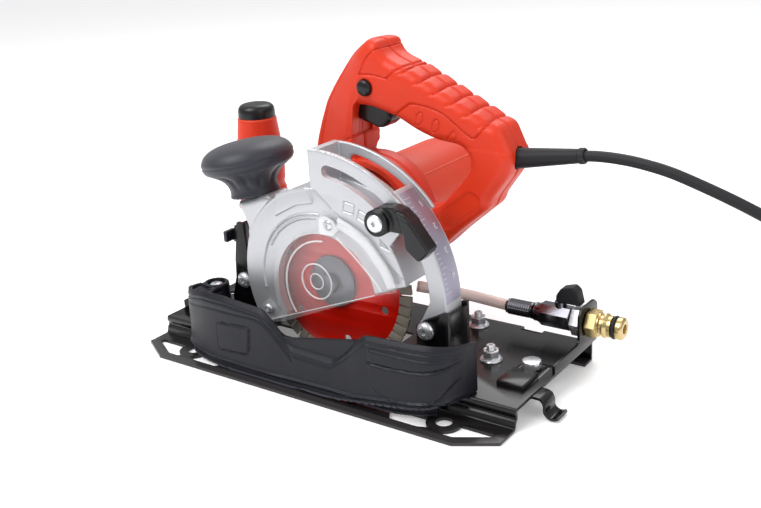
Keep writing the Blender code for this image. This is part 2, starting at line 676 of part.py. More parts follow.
def spindle_group():
    spot = at(BLADE_AXIS, 0)
    spindle = turned("spindle", [
        (0, 34), (3.7, 34), (3.7, 29.0), (6.0, 29.0), (6.0, 21.8), (5.0, 21.8), (5.0, -1.2),
        (3.3, -1.2), (3.3, 14), (0, 14),
    ], spot, "Y", "steel", 24)
    gear = toothed_wheel("drive_gear", BLADE_AXIS, GEAR_TEETH, 90, 6.3, (22.4, 28.4), "steel")
    inner = turned("inner_flange", [
        (5.3, 12), (9, 12), (9, 8), (18.4, 6), (18.4, 1.4), (10.1, 1.4), (10.1, -1.1), (5.3, -1.1), (5.3, 12),
    ], spot, "Y", "steel")
    outer = turned("outer_flange", [
        (3.3, -1.5), (18.4, -1.5), (18.4, -3.6), (12, -5.2), (3.3, -5.2), (3.3, -1.5),
    ], spot, "Y", "steel")
    bolt = rod("blade_bolt", 3.0, -6, 13, spot, "Y", "zinc", 16)
    head = outline("bolt_head", [hexagon(BLADE_AXIS, 12.5)], (-9.4, -5.5), "XZ")
    join(bolt, head)
    return [spindle, gear, inner, outer, bolt, blade()]


def armature_group():
    spot = at(MOTOR_AXIS, 0)
    shaft = turned("armature_shaft", [
        (0, 141.5), (3.7, 141.5), (3.7, 134), (5.0, 134), (5.0, 36), (4.0, 36), (4.0, 22.0), (0, 22.0),
    ], spot, "Y", "steel", 24)
    gap_phase = 270 + 180 / PINION_TEETH
    pinion = toothed_wheel("pinion", MOTOR_AXIS, PINION_TEETH, gap_phase, 4.3, (22.2, 28.6), "steel")
    core = ring("armature_core", 5.3, 19, 62, 104, spot, "Y", "copper")
    commutator = ring("commutator", 5.3, 11, 112, 124, spot, "Y", "copper", 24)
    fan = ring("cooling_fan", 5.3, 10, 40, 52, spot, "Y", "dark_plastic", 24)
    join(fan, ring("fan_disc", 8, 29, 50, 52, spot))
    for i in range(7):
        vane = box("fan_vane", (9, 28), (41, 51), (-0.8, 0.8))
        turn = Matrix.Rotation(math.radians(360 / 7 * i), 3, "Y")
        place(vane, *(Vector(at(MOTOR_AXIS, 46)) + turn @ Vector((18.5, 0, 0))), turn)
        join(fan, vane)
    return [shaft, pinion, core, commutator, fan]


def gear_hull(inset):
    """Outline around both shafts: a large circle at the motor, a smaller one at the spindle."""
    large, small = MOTOR_R - inset, 29.5 - inset
    tilt = math.degrees(math.asin((large - small) / CENTRE_DISTANCE))
    return arc(MOTOR_AXIS, large, -tilt, 180 + tilt, 24) + arc(BLADE_AXIS, small, 180 + tilt, 360 - tilt, 18)


def gear_case():
    case = outline("gear_housing", [gear_hull(0)], (14.5, 29.0), "XZ", "cast_aluminium")
    cut(case, outline("gear_room", [gear_hull(3)], (21.6, 32), "XZ"))
    cut(case, rod("spindle_bore", 9.5, 10, 17, at(BLADE_AXIS, 0)))
    cut(case, rod("spindle_seat", 11.3, 15.6, 24, at(BLADE_AXIS, 0)))
    plate = outline("bearing_plate", [gear_hull(0)], (29.3, 34.7), "XZ", "cast_aluminium")
    cut(plate, rod("rear_spindle_seat", 8.3, 25, 40, at(BLADE_AXIS, 0)))
    cut(plate, rod("front_armature_seat", 11.3, 25, 40, at(MOTOR_AXIS, 0)))
    spindle, motor = at(BLADE_AXIS, 0), at(MOTOR_AXIS, 0)
    return [
        case,
        plate,
        ring("spindle_bearing", 5.3, 11, 15.9, 21.3, spindle, "Y", "steel"),
        ring("spindle_rear_bearing", 4.0, 8, 29.8, 34.2, spindle, "Y", "steel", 24),
        ring("armature_front_bearing", 4.3, 11, 29.8, 34.2, motor, "Y", "steel", 24),
        ring("armature_rear_bearing", 4.0, 9.5, 136, 141, motor, "Y", "steel", 24),
    ]


def motor_case():
    spot = at(MOTOR_AXIS, 0)
    end = MOTOR_END_Y
    case = turned("motor_housing", [
        (0, end), (25, end), (32, end - 3), (MOTOR_R, end - 9), (MOTOR_R, MOTOR_START_Y),
        (MOTOR_R - 3, MOTOR_START_Y), (MOTOR_R - 3, end - 9), (30, end - 6.5), (14, end - 6.5),
        (14, 135.5), (9.8, 135.5), (9.8, 142.5), (0, 142.5),
    ], spot, "Y", "red_plastic", 28)
    stator = ring("stator", 20, 31.6, 60, 106, spot, "Y", "steel")
    parts = [case, stator]
    for tag, side in (("front", -1), ("rear", 1)):
        low, high = sorted((side * 11.4, side * 25.6))
        z = MOTOR_AXIS[1]
        parts.append(box("brush_" + tag, (low, high), (114.5, 121.5), (z - 3.5, z + 3.5), "carbon"))
    return parts


# ---------------------------------------------------------------- handles


def handle_outline():
    outer = [
        (-52.4, 137), (-45, 160), (-38.5, 175), (-31, 186), (-21.5, 198), (-12, 209), (-3, 216), (6, 221),
        (16.5, 220.5), (19, 214), (26, 209), (38, 204.5), (99, 172), (105, 170), (113.5, 151), (110, 140),
        (99, 122), (98, 116), (73, 95), (56, 79),
    ]
    outer += arc(MOTOR_AXIS, MOTOR_R + 8, 325, 165, 20)
    opening = arc(MOTOR_AXIS, MOTOR_R + 10, 14, 98, 9) + [
        (-7, 160), (-6, 171), (-4, 177), (10, 176.4), (28, 171.5), (46, 162.6), (60, 158), (78, 156),
        (85, 151), (86, 143), (80, 134), (62, 113),
    ]
    return [outer, opening, circle(MOTOR_AXIS, MOTOR_R + 0.6, 28)]


def handle_cavity():
    return [
        (-3, 187), (0, 195), (10, 206), (18, 207), (36, 196.5), (92, 166.5), (100, 152), (92, 146),
        (89, 154.5), (79, 160), (61, 162), (48, 167), (30, 176), (10, 181), (-3, 182),
    ]


def leg_wedge(name, seam, face):
    """Cutter that slopes the front leg from its parting line, at seam, to a narrow face."""
    parting = [(-41.7, 107), (-46.4, 120), (-52.7, 137), (-45.3, 160), (-31.3, 186), (-12.3, 209), (5.7, 221.3)]
    narrow = [(-41, 107), (-36, 120), (-20, 137), (-10, 160), (-6, 186), (5, 209), (16, 221.3)]
    outside = [(5, 226), (-62, 226), (-62, 107)]
    return lofted(name, (parting + outside, seam), (narrow + outside, face))


def handle_half(name, face):
    """One moulded half of the D handle; both halves close at the handle's middle plane."""
    side = 1 if face > HANDLE_Y else -1
    seam = HANDLE_Y + side * GAP / 2
    half = outline(name, handle_outline(), sorted((seam, face)), "XZ", "red_plastic")
    cut(half, leg_wedge(name + "_wedge", seam - side * 0.2, face + side * 0.2))
    room = sorted((face - side * HANDLE_WALL, seam - side * 5))
    cut(half, outline("handle_cavity", [handle_cavity()], room, "XZ"))
    cut(half, box("trigger_slot", (-8, 24), (HANDLE_Y - 8.5, HANDLE_Y + 8.5), (155, 186.5)))
    cut(half, rod("cord_hole", 6.9, 90, 125, (0, HANDLE_Y, CORD_Z), "X", steps=24))
    return half


def d_handle():
    low, high = HANDLE_Y - HANDLE_HALF_WIDTH, HANDLE_Y + HANDLE_HALF_WIDTH
    near = handle_half("handle_near", low)
    far = handle_half("handle_far", high)
    cut(near, rod("button_hole", LOCK_BUTTON_R + 0.4, low - 5, low + 8, at(LOCK_BUTTON, 0), steps=24))
    key = [(-6.6, 166), (2, 163.6), (11, 160.6), (16, 161.4), (22, 166.6), (19, 180), (-6.6, 180)]
    trigger = outline("trigger", [key], (HANDLE_Y - 8, HANDLE_Y + 8), "XZ", "rubber")
    round_edges(trigger, 1.2, 2)
    button = turned("lock_button", [
        (0, low + 4.5), (LOCK_BUTTON_R, low + 4.5), (LOCK_BUTTON_R, low - 2.6), (LOCK_BUTTON_R - 1.1, low - 3.6),
        (0, low - 4),
    ], at(LOCK_BUTTON, 0), "Y", "rubber", 20)
    switch = box("switch_body", (2, 26), (HANDLE_Y - 7, HANDLE_Y + 7), (185.6, 195.5), "dark_plastic", 0.8)
    boot = ring("cord_boot", 3.9, 6.5, 97, 150, (0, HANDLE_Y, CORD_Z), "X", "rubber", 20)
    cord_path = [
        (98, 153), (155, 153), (166, 154.6), (180, 155.2), (193, 154), (211, 150.5), (229, 145),
        (247, 138.7), (264, 132), (278, 126),
    ]
    cord = tube("power_cord", [(x, HANDLE_Y, z) for x, z in cord_path], 3.4, "rubber")
    return [near, far, trigger, button, switch, boot, cord]


def auxiliary_grip():
    x, y = -112.0, 58.0
    arm = tube("aux_arm", [
        (-36.5, 22, 92), (-50, 23, 90), (-68, 30, 86), (-92, 50, 80.5), (-103, 56, 79.5), (-114, 58, 79.5),
    ], 5.0, "steel")
    grip = turned("aux_grip", [
        (0, 156), (16.2, 156), (17, 150), (18.8, 136), (18.6, 118), (17.5, 104), (19, 92), (21, 86.5), (0, 86.5),
    ], (x, y, 0), "Z", "red_plastic", 20)
    cap = turned("aux_grip_cap", [
        (0, 167.4), (8, 166.8), (12.6, 164.4), (15.1, 160.4), (15.8, 156.3), (0, 156.3),
    ], (x, y, 0), "Z", "rubber", 20)
    return [arm, grip, cap]


def build():
    head = pivot("head_pivot", at(FRONT_PIVOT, 0))
    arm_pivot = pivot("arm_pivot", at(REAR_PIVOT, 0))
    clamp = polar(BLADE_AXIS, SLOT_R, CLAMP_ANGLE)
    clamp_pivot = pivot("clamp_pivot", at(clamp, 0))
    spindle_axis = pivot("spindle_axis", at(BLADE_AXIS, 0))
    motor_axis = pivot("motor_axis", at(MOTOR_AXIS, 0))
    lock_axis = pivot("lock_axis", (0, *LOCK_STUD))
    clip_axis = pivot("clip_axis", (*CLIP_SCREW, 0))
    valve_axis = pivot("valve_axis", (VALVE_STEM_X, WATER_Y, 0))
    bpy.context.view_layer.update()

    base_plate()
    splash_skirt()
    hang(lock_axis, front_bracket())
    rear_clevis()
    deck_nuts()
    hang(clip_axis, rail_clip())
    hang(valve_axis, water_fitting())

    arm, stud, lever = depth_arm()
    hang(arm_pivot, arm, stud, clamp_pivot)
    hang(clamp_pivot, lever)

    hang(spindle_axis, *spindle_group())
    hang(motor_axis, *armature_group())
    hang(head, blade_guard(), *guard_window(), front_knob(), *gear_case(), *motor_case())
    hang(head, *d_handle(), *auxiliary_grip(), spindle_axis, motor_axis)


clear_scene()
PARTS = new_collection("wall_chaser")
CUTTERS = new_collection("cutters")
build()
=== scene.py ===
"""Looks of a wet wall chaser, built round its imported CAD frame.

Lengths are millimetres in the disc's frame: X along the cut towards the cord, Y from the disc's
plane towards the motor, Z up from the sole. Pivots and axes come from the frame's joints.
"""
import json
import math

import bmesh
import bpy
import numpy as np
from mathutils import Matrix, Vector

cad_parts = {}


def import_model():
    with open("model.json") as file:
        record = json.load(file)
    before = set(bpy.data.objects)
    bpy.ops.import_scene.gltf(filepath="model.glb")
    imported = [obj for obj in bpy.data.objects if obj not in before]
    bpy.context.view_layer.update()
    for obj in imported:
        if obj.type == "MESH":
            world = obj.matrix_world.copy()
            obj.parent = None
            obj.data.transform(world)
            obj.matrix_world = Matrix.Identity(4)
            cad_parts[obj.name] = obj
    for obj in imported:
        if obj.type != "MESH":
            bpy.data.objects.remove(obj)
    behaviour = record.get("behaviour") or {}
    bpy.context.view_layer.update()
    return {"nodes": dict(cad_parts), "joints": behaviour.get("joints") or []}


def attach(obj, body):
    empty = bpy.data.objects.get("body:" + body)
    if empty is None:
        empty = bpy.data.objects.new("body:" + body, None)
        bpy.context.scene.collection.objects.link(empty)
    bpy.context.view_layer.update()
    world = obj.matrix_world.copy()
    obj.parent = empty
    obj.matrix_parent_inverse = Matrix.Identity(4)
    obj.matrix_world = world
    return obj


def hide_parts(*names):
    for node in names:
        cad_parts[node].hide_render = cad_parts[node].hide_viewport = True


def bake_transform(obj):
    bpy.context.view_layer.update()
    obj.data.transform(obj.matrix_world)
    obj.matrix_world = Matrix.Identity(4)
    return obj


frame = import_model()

MM = 0.001
JOINTS = {joint["name"]: joint for joint in frame["joints"]}
BLADE_Y = JOINTS["spindle_spin"]["pos_m"][1] / MM


def joint_xz(name):
    x, _, z = JOINTS[name]["pos_m"]
    return (x / MM, z / MM)


BLADE_AXIS = joint_xz("spindle_spin")
MOTOR_AXIS = joint_xz("armature_spin")
FRONT_PIVOT = joint_xz("depth_plunge")
REAR_PIVOT = joint_xz("arm_swing")
CLAMP = joint_xz("clamp_turn")

# Guard and window
GUARD_R = 69.0
ARCH_R = 95.0
SLOT_R = 82.5
NEAR_FACE = -14.0
FAR_FACE = 14.2
WINDOW_CENTRE = (2.0, 59.0)
WINDOW_SCREWS = {"upper": (11.5, 110.0), "lower": (-49.0, 39.0)}

# Handle and motor
HANDLE_Y = 52.0
HANDLE_HALF = 17.0
LOCK_BUTTON = (8.8, 189.9)
MOTOR_R = 35.0

# Base
HALF_BASE = 150.0
DECK_TOP = 15.0
FLANGE_HOLE = (107.8, -37.4)
DECK_STUDS = {"deck_nut_a": (68.9, 73.0), "deck_nut_b": (103.9, 29.0)}
WATER = (80.0, 32.0)


# ---------------------------------------------------------------- 2D drawing


def polar(centre, radius, degrees):
    angle = math.radians(degrees)
    return (centre[0] + radius * math.cos(angle), centre[1] + radius * math.sin(angle))


def arc(centre, radius, start, end, count):
    return [polar(centre, radius, start + (end - start) * i / (count - 1)) for i in range(count)]


def circle(centre, radius, count=48):
    return arc(centre, radius, 0, 360 - 360 / count, count)


def hexagon(centre, across_flats):
    return circle(centre, across_flats / math.sqrt(3), 6)


def torx(centre, radius):
    """Six-lobed socket outline."""
    loop = []
    for i in range(36):
        loop.append(polar(centre, radius * (1 + 0.16 * math.cos(math.radians(60 * i))), 10 * i))
    return loop


def arc_slot(centre, radius, half_width, start, end, count=20):
    first, last = polar(centre, radius, start), polar(centre, radius, end)
    loop = arc(centre, radius + half_width, start, end, count)
    loop += arc(last, half_width, end, end + 180, 9)[1:]
    loop += arc(centre, radius - half_width, end, start, count)[1:]
    loop += arc(first, half_width, start + 180, start + 360, 9)[1:-1]
    return loop


def rounded(loop, radius, steps=4, closed=True):
    """The path with each corner replaced by a curve that starts radius away from it."""
    out = []
    for i, corner in enumerate(loop):
        corner = Vector(corner)
        if not closed and i in (0, len(loop) - 1):
            out.append(tuple(corner))
            continue
        before, after = Vector(loop[i - 1]) - corner, Vector(loop[(i + 1) % len(loop)]) - corner
        reach = min(radius, before.length * 0.48, after.length * 0.48)
        a, b = corner + before.normalized() * reach, corner + after.normalized() * reach
        for k in range(steps + 1):
            t = k / steps
            out.append(tuple(a * (1 - t) ** 2 + corner * 2 * t * (1 - t) + b * t * t))
    return out


def strip(path, thickness):
    """Closed loop of a sheet that lies on the right of an open path."""
    other = []
    for i, spot in enumerate(path):
        ahead = Vector(path[min(i + 1, len(path) - 1)]) - Vector(path[max(i - 1, 0)])
        other.append(tuple(Vector(spot) + Vector((ahead.y, -ahead.x)).normalized() * thickness))
    return path + other[::-1]


def spline(points, count):
    """Smooth path through the points, count steps a span."""
    path = [Vector(p) for p in points]
    path = [path[0] * 2 - path[1]] + path + [path[-1] * 2 - path[-2]]
    out = []
    for i in range(1, len(path) - 2):
        a, b, c, d = path[i - 1:i + 3]
        for k in range(count):
            t = k / count
            square, cube = a * 2 - b * 5 + c * 4 - d, b * 3 - a - c * 3 + d
            out.append((b * 2 + (c - a) * t + square * t * t + cube * t ** 3) / 2)
    return [tuple(p) for p in out] + [tuple(path[-2])]


# ---------------------------------------------------------------- solids


DRAWN_IN = {
    "XZ": Matrix(((1, 0, 0), (0, 0, -1), (0, 1, 0))),
    "XY": Matrix(((1, 0, 0), (0, 1, 0), (0, 0, 1))),
    "YZ": Matrix(((0, 0, 1), (1, 0, 0), (0, 1, 0))),
}
TURNED_ALONG = {
    "X": Matrix(((0, 0, 1), (0, 1, 0), (-1, 0, 0))),
    "Y": Matrix(((1, 0, 0), (0, 0, 1), (0, -1, 0))),
    "Z": Matrix(((1, 0, 0), (0, 1, 0), (0, 0, 1))),
}

TOWARDS_VIEWER = DRAWN_IN["XZ"]
UNTURNED = Matrix.Identity(3)


def world(matrix, x=0.0, y=0.0, z=0.0):
    """Place in the scene of something drawn at the disc frame's origin."""
    return Matrix.Translation(Vector((x, y + BLADE_Y, z)) * MM) @ matrix.to_4x4()


def linked(name, data):
    obj = bpy.data.objects.new(name, data)
    bpy.context.scene.collection.objects.link(obj)
    return obj


def baked(obj):
    """The object's evaluated mesh in world space, as a fresh object; the old one is removed."""
    bpy.context.view_layer.update()
    graph = bpy.context.evaluated_depsgraph_get()
    mesh = bpy.data.meshes.new_from_object(obj.evaluated_get(graph))
    mesh.transform(obj.matrix_world)
    name = obj.name
    bpy.data.objects.remove(obj, do_unlink=True)
    return linked(name, mesh)


def tidy(obj, distance=0.002):
    work = bmesh.new()
    work.from_mesh(obj.data)
    bmesh.ops.remove_doubles(work, verts=work.verts, dist=distance * MM)
    bmesh.ops.recalc_face_normals(work, faces=work.faces)
    work.to_mesh(obj.data)
    work.free()
    return obj


def signed_area(loop):
    return sum(a[0] * b[1] - b[0] * a[1] for a, b in zip(loop, loop[1:] + loop[:1])) / 2


def plate(name, loops, low, high, plane="XZ", edge=0.5, steps=2):
    """Flat solid from an outer loop and its holes, with rounded edges."""
    curve = bpy.data.curves.new(name, "CURVE")
    curve.dimensions = "2D"
    curve.fill_mode = "BOTH"
    curve.extrude = ((high - low) / 2 - edge) * MM
    curve.bevel_depth = edge * MM
    curve.bevel_resolution = steps
    curve.offset = -edge * MM
    for i, loop in enumerate(loops):
        if (signed_area(loop) > 0) != (i == 0):
            loop = loop[::-1]
        line = curve.splines.new("POLY")
        line.points.add(len(loop) - 1)
        for point, (a, b) in zip(line.points, loop):
            point.co = (a * MM, b * MM, 0.0, 1.0)
        line.use_cyclic_u = True
    obj = linked(name, curve)
    middle = (low + high) / 2
    spot = {"XZ": (0, middle, 0), "XY": (0, 0, middle), "YZ": (middle, 0, 0)}[plane]
    obj.matrix_world = world(DRAWN_IN[plane], *spot)
    return tidy(baked(obj))


def turned(name, profile, spot=(0, 0, 0), axis="Y", steps=64, matrix=None):
    """Solid of revolution; profile holds (radius, height) from the top down the outside."""
    mesh = bpy.data.meshes.new(name)
    spots = [(radius * MM, 0, height * MM) for radius, height in profile]
    mesh.from_pydata(spots, [(i, i + 1) for i in range(len(profile) - 1)], [])
    obj = linked(name, mesh)
    screw = obj.modifiers.new("turn", "SCREW")
    screw.steps = screw.render_steps = steps
    screw.use_merge_vertices = True
    screw.merge_threshold = 0.00001
    obj.matrix_world = matrix or world(TURNED_ALONG[axis], *spot)
    return tidy(baked(obj))


def tube(name, points, radius, smooth=8, sides=4):
    """Round bar through (x, y, z) points."""
    path = spline(points, smooth) if smooth else points
    curve = bpy.data.curves.new(name, "CURVE")
    curve.dimensions = "3D"
    curve.bevel_depth = radius * MM
    curve.bevel_resolution = sides
    curve.use_fill_caps = True
    line = curve.splines.new("POLY")
    line.points.add(len(path) - 1)
    for point, spot in zip(line.points, path):
        point.co = (*(Vector(spot) * MM), 1.0)
    obj = linked(name, curve)
    obj.matrix_world = world(UNTURNED)
    return tidy(baked(obj))


def box(name, xs, ys, zs, edge=0.6, steps=3):
    work = bmesh.new()
    bmesh.ops.create_cube(work, size=1.0)
    bmesh.ops.scale(work, vec=Vector((xs[1] - xs[0], ys[1] - ys[0], zs[1] - zs[0])) * MM, verts=work.verts)
    bmesh.ops.bevel(work, geom=work.edges, offset=edge * MM, segments=steps, affect="EDGES", profile=0.5)
    mesh = bpy.data.meshes.new(name)
    work.to_mesh(mesh)
    work.free()
    obj = linked(name, mesh)
    mesh.transform(world(UNTURNED, sum(xs) / 2, sum(ys) / 2, sum(zs) / 2))
    return obj


def placed(obj, turn, x, y, z):
    """Turns a piece drawn round the disc frame's origin and moves it to a spot."""
    obj.data.transform(world(UNTURNED).inverted())
    obj.data.transform(world(turn, x, y, z))
    return obj


def merged(name, parts):
    """Closed shells gathered in one object, unjoined."""
    work = bmesh.new()
    for part in parts:
        work.from_mesh(part.data)
        bpy.data.objects.remove(part, do_unlink=True)
    mesh = bpy.data.meshes.new(name)
    work.to_mesh(mesh)
    work.free()
    return linked(name, mesh)


def boolean(obj, others, operation):
    for other in others:
        step = obj.modifiers.new("step", "BOOLEAN")
        step.operation = operation
        step.solver = "EXACT"
        step.object = other
    fresh = baked(obj)
    for other in others:
        bpy.data.objects.remove(other, do_unlink=True)
    if not fresh.data.polygons:
        raise RuntimeError("nothing is left of " + fresh.name + " after a boolean")
    return fresh


def cut(obj, *cutters):
    return boolean(obj, cutters, "DIFFERENCE")


def join(obj, *parts):
    return boolean(obj, parts, "UNION")


def skinned(obj, voxel=0.8, smooth=2, factor=0.5):
    """One dense skin over the overlapping shells, for castings and soft mouldings."""
    skin = obj.modifiers.new("skin", "REMESH")
    skin.mode = "VOXEL"
    skin.voxel_size = voxel * MM
    if smooth:
        relax = obj.modifiers.new("relax", "SMOOTH")
        relax.iterations = smooth
        relax.factor = factor
    return baked(obj)


# ---------------------------------------------------------------- sculpting on a dense skin


def sculpt(obj, amount):
    """Moves each vertex along its normal by amount(x, y, z, normal) millimetres."""
    spots, normals = read_spots(obj.data), read_spots(obj.data, "normal")
    x, y, z = spots.T / MM
    lift = amount(x, y - BLADE_Y, z, normals)
    write_spots(obj.data, spots + normals * (lift * MM)[:, None])
    return obj


def read_spots(mesh, of="co"):
    values = np.zeros(len(mesh.vertices) * 3)
    mesh.vertices.foreach_get(of, values)
    return values.reshape(-1, 3)


def write_spots(mesh, spots):
    mesh.vertices.foreach_set("co", spots.ravel())
    mesh.update()


def ramp(value, low, high):
    t = np.clip((value - low) / (high - low), 0, 1)
    return t * t * (3 - 2 * t)


def path_distance(a, b, path, closed=False):
    best = np.full(a.shape, 1e9)
    ends = path[1:] + (path[:1] if closed else [])
    for (x0, y0), (x1, y1) in zip(path, ends):
        dx, dy = x1 - x0, y1 - y0
        t = np.clip(((a - x0) * dx + (b - y0) * dy) / max(dx * dx + dy * dy, 1e-9), 0, 1)
        best = np.minimum(best, np.hypot(a - x0 - t * dx, b - y0 - t * dy))
    return best


def line(a, b, path, width, closed=False):
    """1 on the path, falling to 0 about width away from it."""
    return np.exp(-(path_distance(a, b, path, closed) / width) ** 2)


def inside(a, b, loop):
    odd = np.zeros(a.shape, bool)
    for (x0, y0), (x1, y1) in zip(loop, loop[1:] + loop[:1]):
        crosses = (y0 > b) != (y1 > b)
        with np.errstate(divide="ignore", invalid="ignore"):
            odd ^= crosses & (a < (x1 - x0) * (b - y0) / (y1 - y0 if y1 != y0 else 1e-9) + x0)
    return odd


def raised(a, b, loop, edge=0.7):
    """1 well inside the loop, 0 outside, with a slope edge wide between."""
    return np.where(inside(a, b, loop), ramp(path_distance(a, b, loop, True), 0, edge), 0.0)


def from_axis(a, b, centre):
    return np.hypot(a - centre[0], b - centre[1]), np.degrees(np.arctan2(b - centre[1], a - centre[0])) % 360


# ---------------------------------------------------------------- materials


def linear(red, green, blue):
    def one(value):
        value /= 255
        return value / 12.92 if value <= 0.04045 else ((value + 0.055) / 1.055) ** 2.4
    return (one(red), one(green), one(blue), 1.0)


def filled(node, values):
    for socket, value in values.items():
        node.inputs[socket].default_value = value
    return node


def surface(
    name, colour, rough, metal=0.0, grain=900.0, bump=0.12, blotch=35.0, vary=0.10,
    rough_vary=0.10, coat=0.0, worn_and_highlight=None, stretch=(1, 1, 1), alpha=1.0, sheen=0.0, subsurface=0.0,
    gloss=0.5,
):
    """Surface with fine grain in its bump, slow changes of colour and roughness, and edges painted lighter,
    partly as wear and partly as painted highlight.
    """
    mat = bpy.data.materials.new(name)
    mat.use_nodes = True
    tree = mat.node_tree
    nodes, links = tree.nodes, tree.links
    shader = nodes["Principled BSDF"]
    where = nodes.new("ShaderNodeTexCoord")
    mapping = nodes.new("ShaderNodeMapping")
    mapping.inputs["Scale"].default_value = stretch
    links.new(where.outputs["Object"], mapping.inputs["Vector"])

    def noise(scale, detail):
        node = filled(nodes.new("ShaderNodeTexNoise"), {"Scale": scale, "Detail": detail})
        links.new(mapping.outputs["Vector"], node.inputs["Vector"])
        return node.outputs["Fac"]

    fine, slow = noise(grain, 3.0), noise(blotch, 5.0)
    shade = nodes.new("ShaderNodeMix")
    shade.data_type = "RGBA"
    shade.inputs["A"].default_value = tuple(c * (1 - vary) for c in colour[:3]) + (1,)
    shade.inputs["B"].default_value = tuple(min(1, c * (1 + vary)) for c in colour[:3]) + (1,)
    links.new(slow, shade.inputs["Factor"])
    final = shade.outputs["Result"]
    # Convex edges painted lighter by pointiness: partly wear, partly painted highlight along the bends.
    if worn_and_highlight:
        geometry = nodes.new("ShaderNodeNewGeometry")
        edge = nodes.new("ShaderNodeMapRange")
        filled(edge, {"From Min": 0.53, "From Max": 0.62, "To Max": worn_and_highlight[1]})
        links.new(geometry.outputs["Pointiness"], edge.inputs["Value"])
        rub_and_highlight = nodes.new("ShaderNodeMix")
        rub_and_highlight.data_type = "RGBA"
        rub_and_highlight.inputs["B"].default_value = worn_and_highlight[0]
        links.new(edge.outputs["Result"], rub_and_highlight.inputs["Factor"])
        links.new(final, rub_and_highlight.inputs["A"])
        final = rub_and_highlight.outputs["Result"]
    links.new(final, shader.inputs["Base Color"])
    spread = filled(nodes.new("ShaderNodeMapRange"), {
        "To Min": max(0.02, rough - rough_vary), "To Max": min(1.0, rough + rough_vary),
    })
    links.new(slow, spread.inputs["Value"])
    links.new(spread.outputs["Result"], shader.inputs["Roughness"])
    relief = filled(nodes.new("ShaderNodeBump"), {"Strength": bump, "Distance": 0.0004})
    links.new(fine, relief.inputs["Height"])
    links.new(relief.outputs["Normal"], shader.inputs["Normal"])
    filled(shader, {
        "Metallic": metal, "Specular IOR Level": gloss, "Coat Weight": coat, "Coat Roughness": 0.12,
        "Sheen Weight": sheen, "Alpha": alpha, "Subsurface Weight": subsurface, "Subsurface Scale": 0.003,
    })
    return mat


# A finish's second colour is painted on its convex edges: partly wear, partly painted edge highlight.
FINISHES = {
    "red_plastic": dict(colour=linear(212, 50, 16), rough=0.42, grain=1400, bump=0.12, vary=0.06,
        worn_and_highlight=(linear(240, 128, 92), 0.35), gloss=0.38),
    "dark_plastic": dict(colour=linear(21, 22, 30), rough=0.42, grain=1100, bump=0.22, vary=0.16,
        worn_and_highlight=(linear(98, 99, 112), 0.40), gloss=0.30),
    "knob_rubber": dict(colour=linear(35, 37, 47), rough=0.50, grain=700, bump=0.30, vary=0.16,
        worn_and_highlight=(linear(95, 97, 106), 0.4), sheen=0.15),
    "black_steel": dict(colour=linear(9, 8, 10), rough=0.24, grain=260, bump=0.08, vary=0.3,
        rough_vary=0.08, coat=0.05, worn_and_highlight=(linear(84, 80, 82), 0.40), gloss=0.32),
    "cast_aluminium": dict(colour=linear(196, 197, 201), rough=0.40, metal=0.62, grain=1600,
        bump=0.24, vary=0.05, worn_and_highlight=(linear(246, 246, 248), 0.5)),
    "scale_aluminium": dict(colour=linear(168, 164, 182), rough=0.40, metal=0.75, grain=900,
        bump=0.5, vary=0.08),
    "zinc": dict(colour=linear(214, 216, 220), rough=0.26, metal=0.75, grain=500, bump=0.10,
        vary=0.10, rough_vary=0.08),
    "dark_chrome": dict(colour=linear(112, 112, 118), rough=0.16, metal=1.0, grain=400, bump=0.08,
        vary=0.12, rough_vary=0.06, stretch=(1, 6, 1)),
    "steel": dict(colour=linear(150, 150, 154), rough=0.34, metal=1.0, grain=300, bump=0.12,
        stretch=(1, 8, 1)),
    "brass": dict(colour=linear(208, 184, 130), rough=0.24, metal=0.92, grain=300, bump=0.10,
        vary=0.08, stretch=(9, 1, 1)),
    "copper": dict(colour=linear(190, 110, 70), rough=0.32, metal=1.0, grain=400, bump=0.2),
    "rubber": dict(colour=linear(24, 24, 27), rough=0.55, grain=900, bump=0.25, vary=0.2,
        worn_and_highlight=(linear(70, 70, 74), 0.3), gloss=0.35),
    "button_plastic": dict(colour=linear(18, 18, 21), rough=0.30, grain=900, bump=0.10, vary=0.2,
        worn_and_highlight=(linear(84, 84, 92), 0.3), gloss=0.40),
    "hose": dict(colour=linear(236, 218, 212), rough=0.25, grain=400, bump=0.06, vary=0.06,
        alpha=0.86, subsurface=0.4),
    "blade_red": dict(colour=linear(214, 22, 6), rough=0.30, metal=0.15, grain=600, bump=0.10,
        vary=0.10, coat=0.25),
    "blade_rim": dict(colour=linear(150, 142, 130), rough=0.70, metal=0.3, grain=1500, bump=0.8, vary=0.25),
    "hub_grey": dict(colour=linear(118, 120, 128), rough=0.42, metal=0.9, grain=500, bump=0.2, vary=0.10),
    "clear_plastic": dict(colour=linear(236, 236, 238), rough=0.08, grain=120, bump=0.03,
        vary=0.02, rough_vary=0.03, alpha=0.10),
    # Whiter and more opaque than the cover: the glint of the clear window's ribs, painted in.
    "clear_rib_glint": dict(colour=linear(250, 250, 252), rough=0.12, grain=200, bump=0.05, vary=0.02,
        alpha=0.42),
    "carbon": dict(colour=linear(40, 40, 40), rough=0.8, grain=1500, bump=0.5),
}
LOOKS = {name: surface(name, **finish) for name, finish in FINISHES.items()}


def finished(obj, look, angle):
    obj.data.materials.clear()
    obj.data.materials.append(LOOKS[look])
    obj.data.shade_smooth()
    obj.data.set_sharp_from_angle(angle=math.radians(angle))


def shown(obj, look, body, slot, *nodes, angle=35):
    """Gives a finished piece its material and shading, and rides it on its body."""
    finished(obj, look, angle)
    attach(obj, body)
    if nodes:
        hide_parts(*nodes)
    return obj


